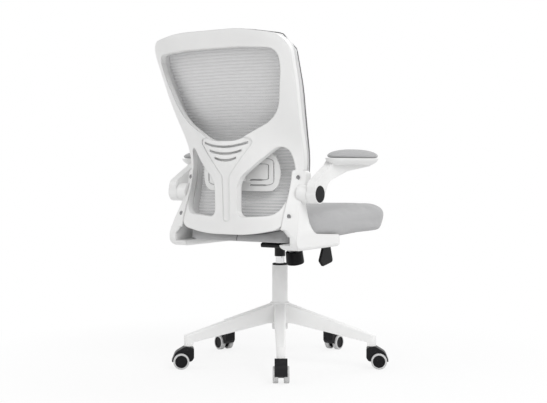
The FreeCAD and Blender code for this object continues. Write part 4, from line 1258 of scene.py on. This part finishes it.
@dataclass
class Studio:
    """Pale floor, soft lamps and the camera."""

    eye: Triple = (-1.92359, 2.86423, 0.63773)
    look: Triple = (0.56217, -0.82636, -0.03320)
    lens: float = 70.38
    sensor: float = 36.0
    sky: float = 0.70
    floor_tones: tuple[Colour, Colour] = ((0.86, 0.86, 0.86), (0.88, 0.88, 0.88))
    floor_patch: float = 2.0
    floor_glow: float = 0.82
    floor_fade: Pair = (0.4, 1.2)
    floor_reach: float = 30.0
    # Name, place, size in metres and power in watts of each lamp.
    lamps: tuple[tuple[str, Triple, float, float], ...] = (
        ("key_lamp", (-2.6, 1.2, 2.9), 1.8, 50.0),
        ("fill_lamp", (2.4, 2.8, 2.2), 2.2, 20.0),
        ("front_lamp", (-0.4, -3.0, 2.4), 2.2, 30.0),
    )
    lamp_aim: Triple = (0.0, 0.0, 0.5)

    def build(self) -> None:
        """Set up the camera, the floor, the sky and the lamps."""
        bpy.context.scene.view_settings.view_transform = "Standard"
        self._camera()
        self._floor()
        self._sky()
        self._lamps()

    @staticmethod
    def _stand(data: bpy.types.ID, place: Vector, along: Vector) -> Piece:
        """Stand a camera or a lamp in the scene.

        Args:
            data: The camera or lamp.
            place: Where it stands.
            along: Direction that it is turned to.

        Returns:
            The new object.
        """
        stood = bpy.data.objects.new(data.name, data)
        stood.location = place
        stood.rotation_mode = "QUATERNION"
        stood.rotation_quaternion = along.to_track_quat("-Z", "Y")
        bpy.context.scene.collection.objects.link(stood)
        return stood

    def _camera(self) -> None:
        """Camera at the photographed viewpoint."""
        data = bpy.data.cameras.new("camera")
        data.sensor_fit = "HORIZONTAL"
        data.sensor_width = self.sensor
        data.lens = self.lens
        bpy.context.scene.camera = self._stand(data, Vector(self.eye), Vector(self.look))

    def _floor(self) -> None:
        """Wide pale floor that shows white and keeps a faint shadow."""
        tree = ShaderTree.named("pale_floor")
        tone = tree.mix(tree.cloud(self.floor_patch), *self.floor_tones)
        matt = tree.node("ShaderNodeBsdfDiffuse", {}, {"Color": tone})
        glow = tree.node("ShaderNodeEmission", {}, {"Color": FULL_LIGHT, "Strength": 1.0})
        x, y = tree.place("X"), tree.place("Y")
        near, far = self.floor_fade
        fade = tree.node("ShaderNodeMapRange", {"interpolation_type": "SMOOTHSTEP"}, {
            "Value": x * x + y * y, "From Min": near * near, "From Max": far * far,
            "To Min": self.floor_glow})
        share = tree.seen() * fade
        material = tree.finish(tree.node("ShaderNodeMixShader", {}, {0: share, 1: matt, 2: glow}))
        signs = ((-1, -1), (1, -1), (1, 1), (-1, 1))
        corners = [self.floor_reach * Vector((*pair, 0.0)) for pair in signs]
        MeshShop.add("floor", corners, [(0, 1, 2, 3)], material)

    def _sky(self) -> None:
        """Even sky that the camera and bright metal see as white."""
        tree = ShaderTree(bpy.data.worlds.new("sky"))
        level = tree.node("ShaderNodeMapRange", {}, {"Value": tree.seen(), "To Min": self.sky, "To Max": 1.0})
        glow = tree.node("ShaderNodeBackground", {}, {"Color": FULL_LIGHT, "Strength": level})
        bpy.context.scene.world = tree.finish(glow)

    def _lamps(self) -> None:
        """Soft square lamps turned to the chair."""
        for name, place, size, power in self.lamps:
            data = bpy.data.lights.new(name, "AREA")
            data.size = size
            data.energy = power
            self._stand(data, Vector(place), Vector(self.lamp_aim) - Vector(place))


def main() -> None:
    """Build every sub-assembly in order."""
    logging.basicConfig(level=logging.INFO, format="%(name)s: %(message)s")
    Studio().build()
    finishes = Finishes()
    Base().build(finishes)
    Mechanism().build(finishes)
    Seat().build(finishes)
    Back().build(finishes)
    for side in Side:
        Arm(side).build(finishes)


if __name__ == "__main__":
    main()
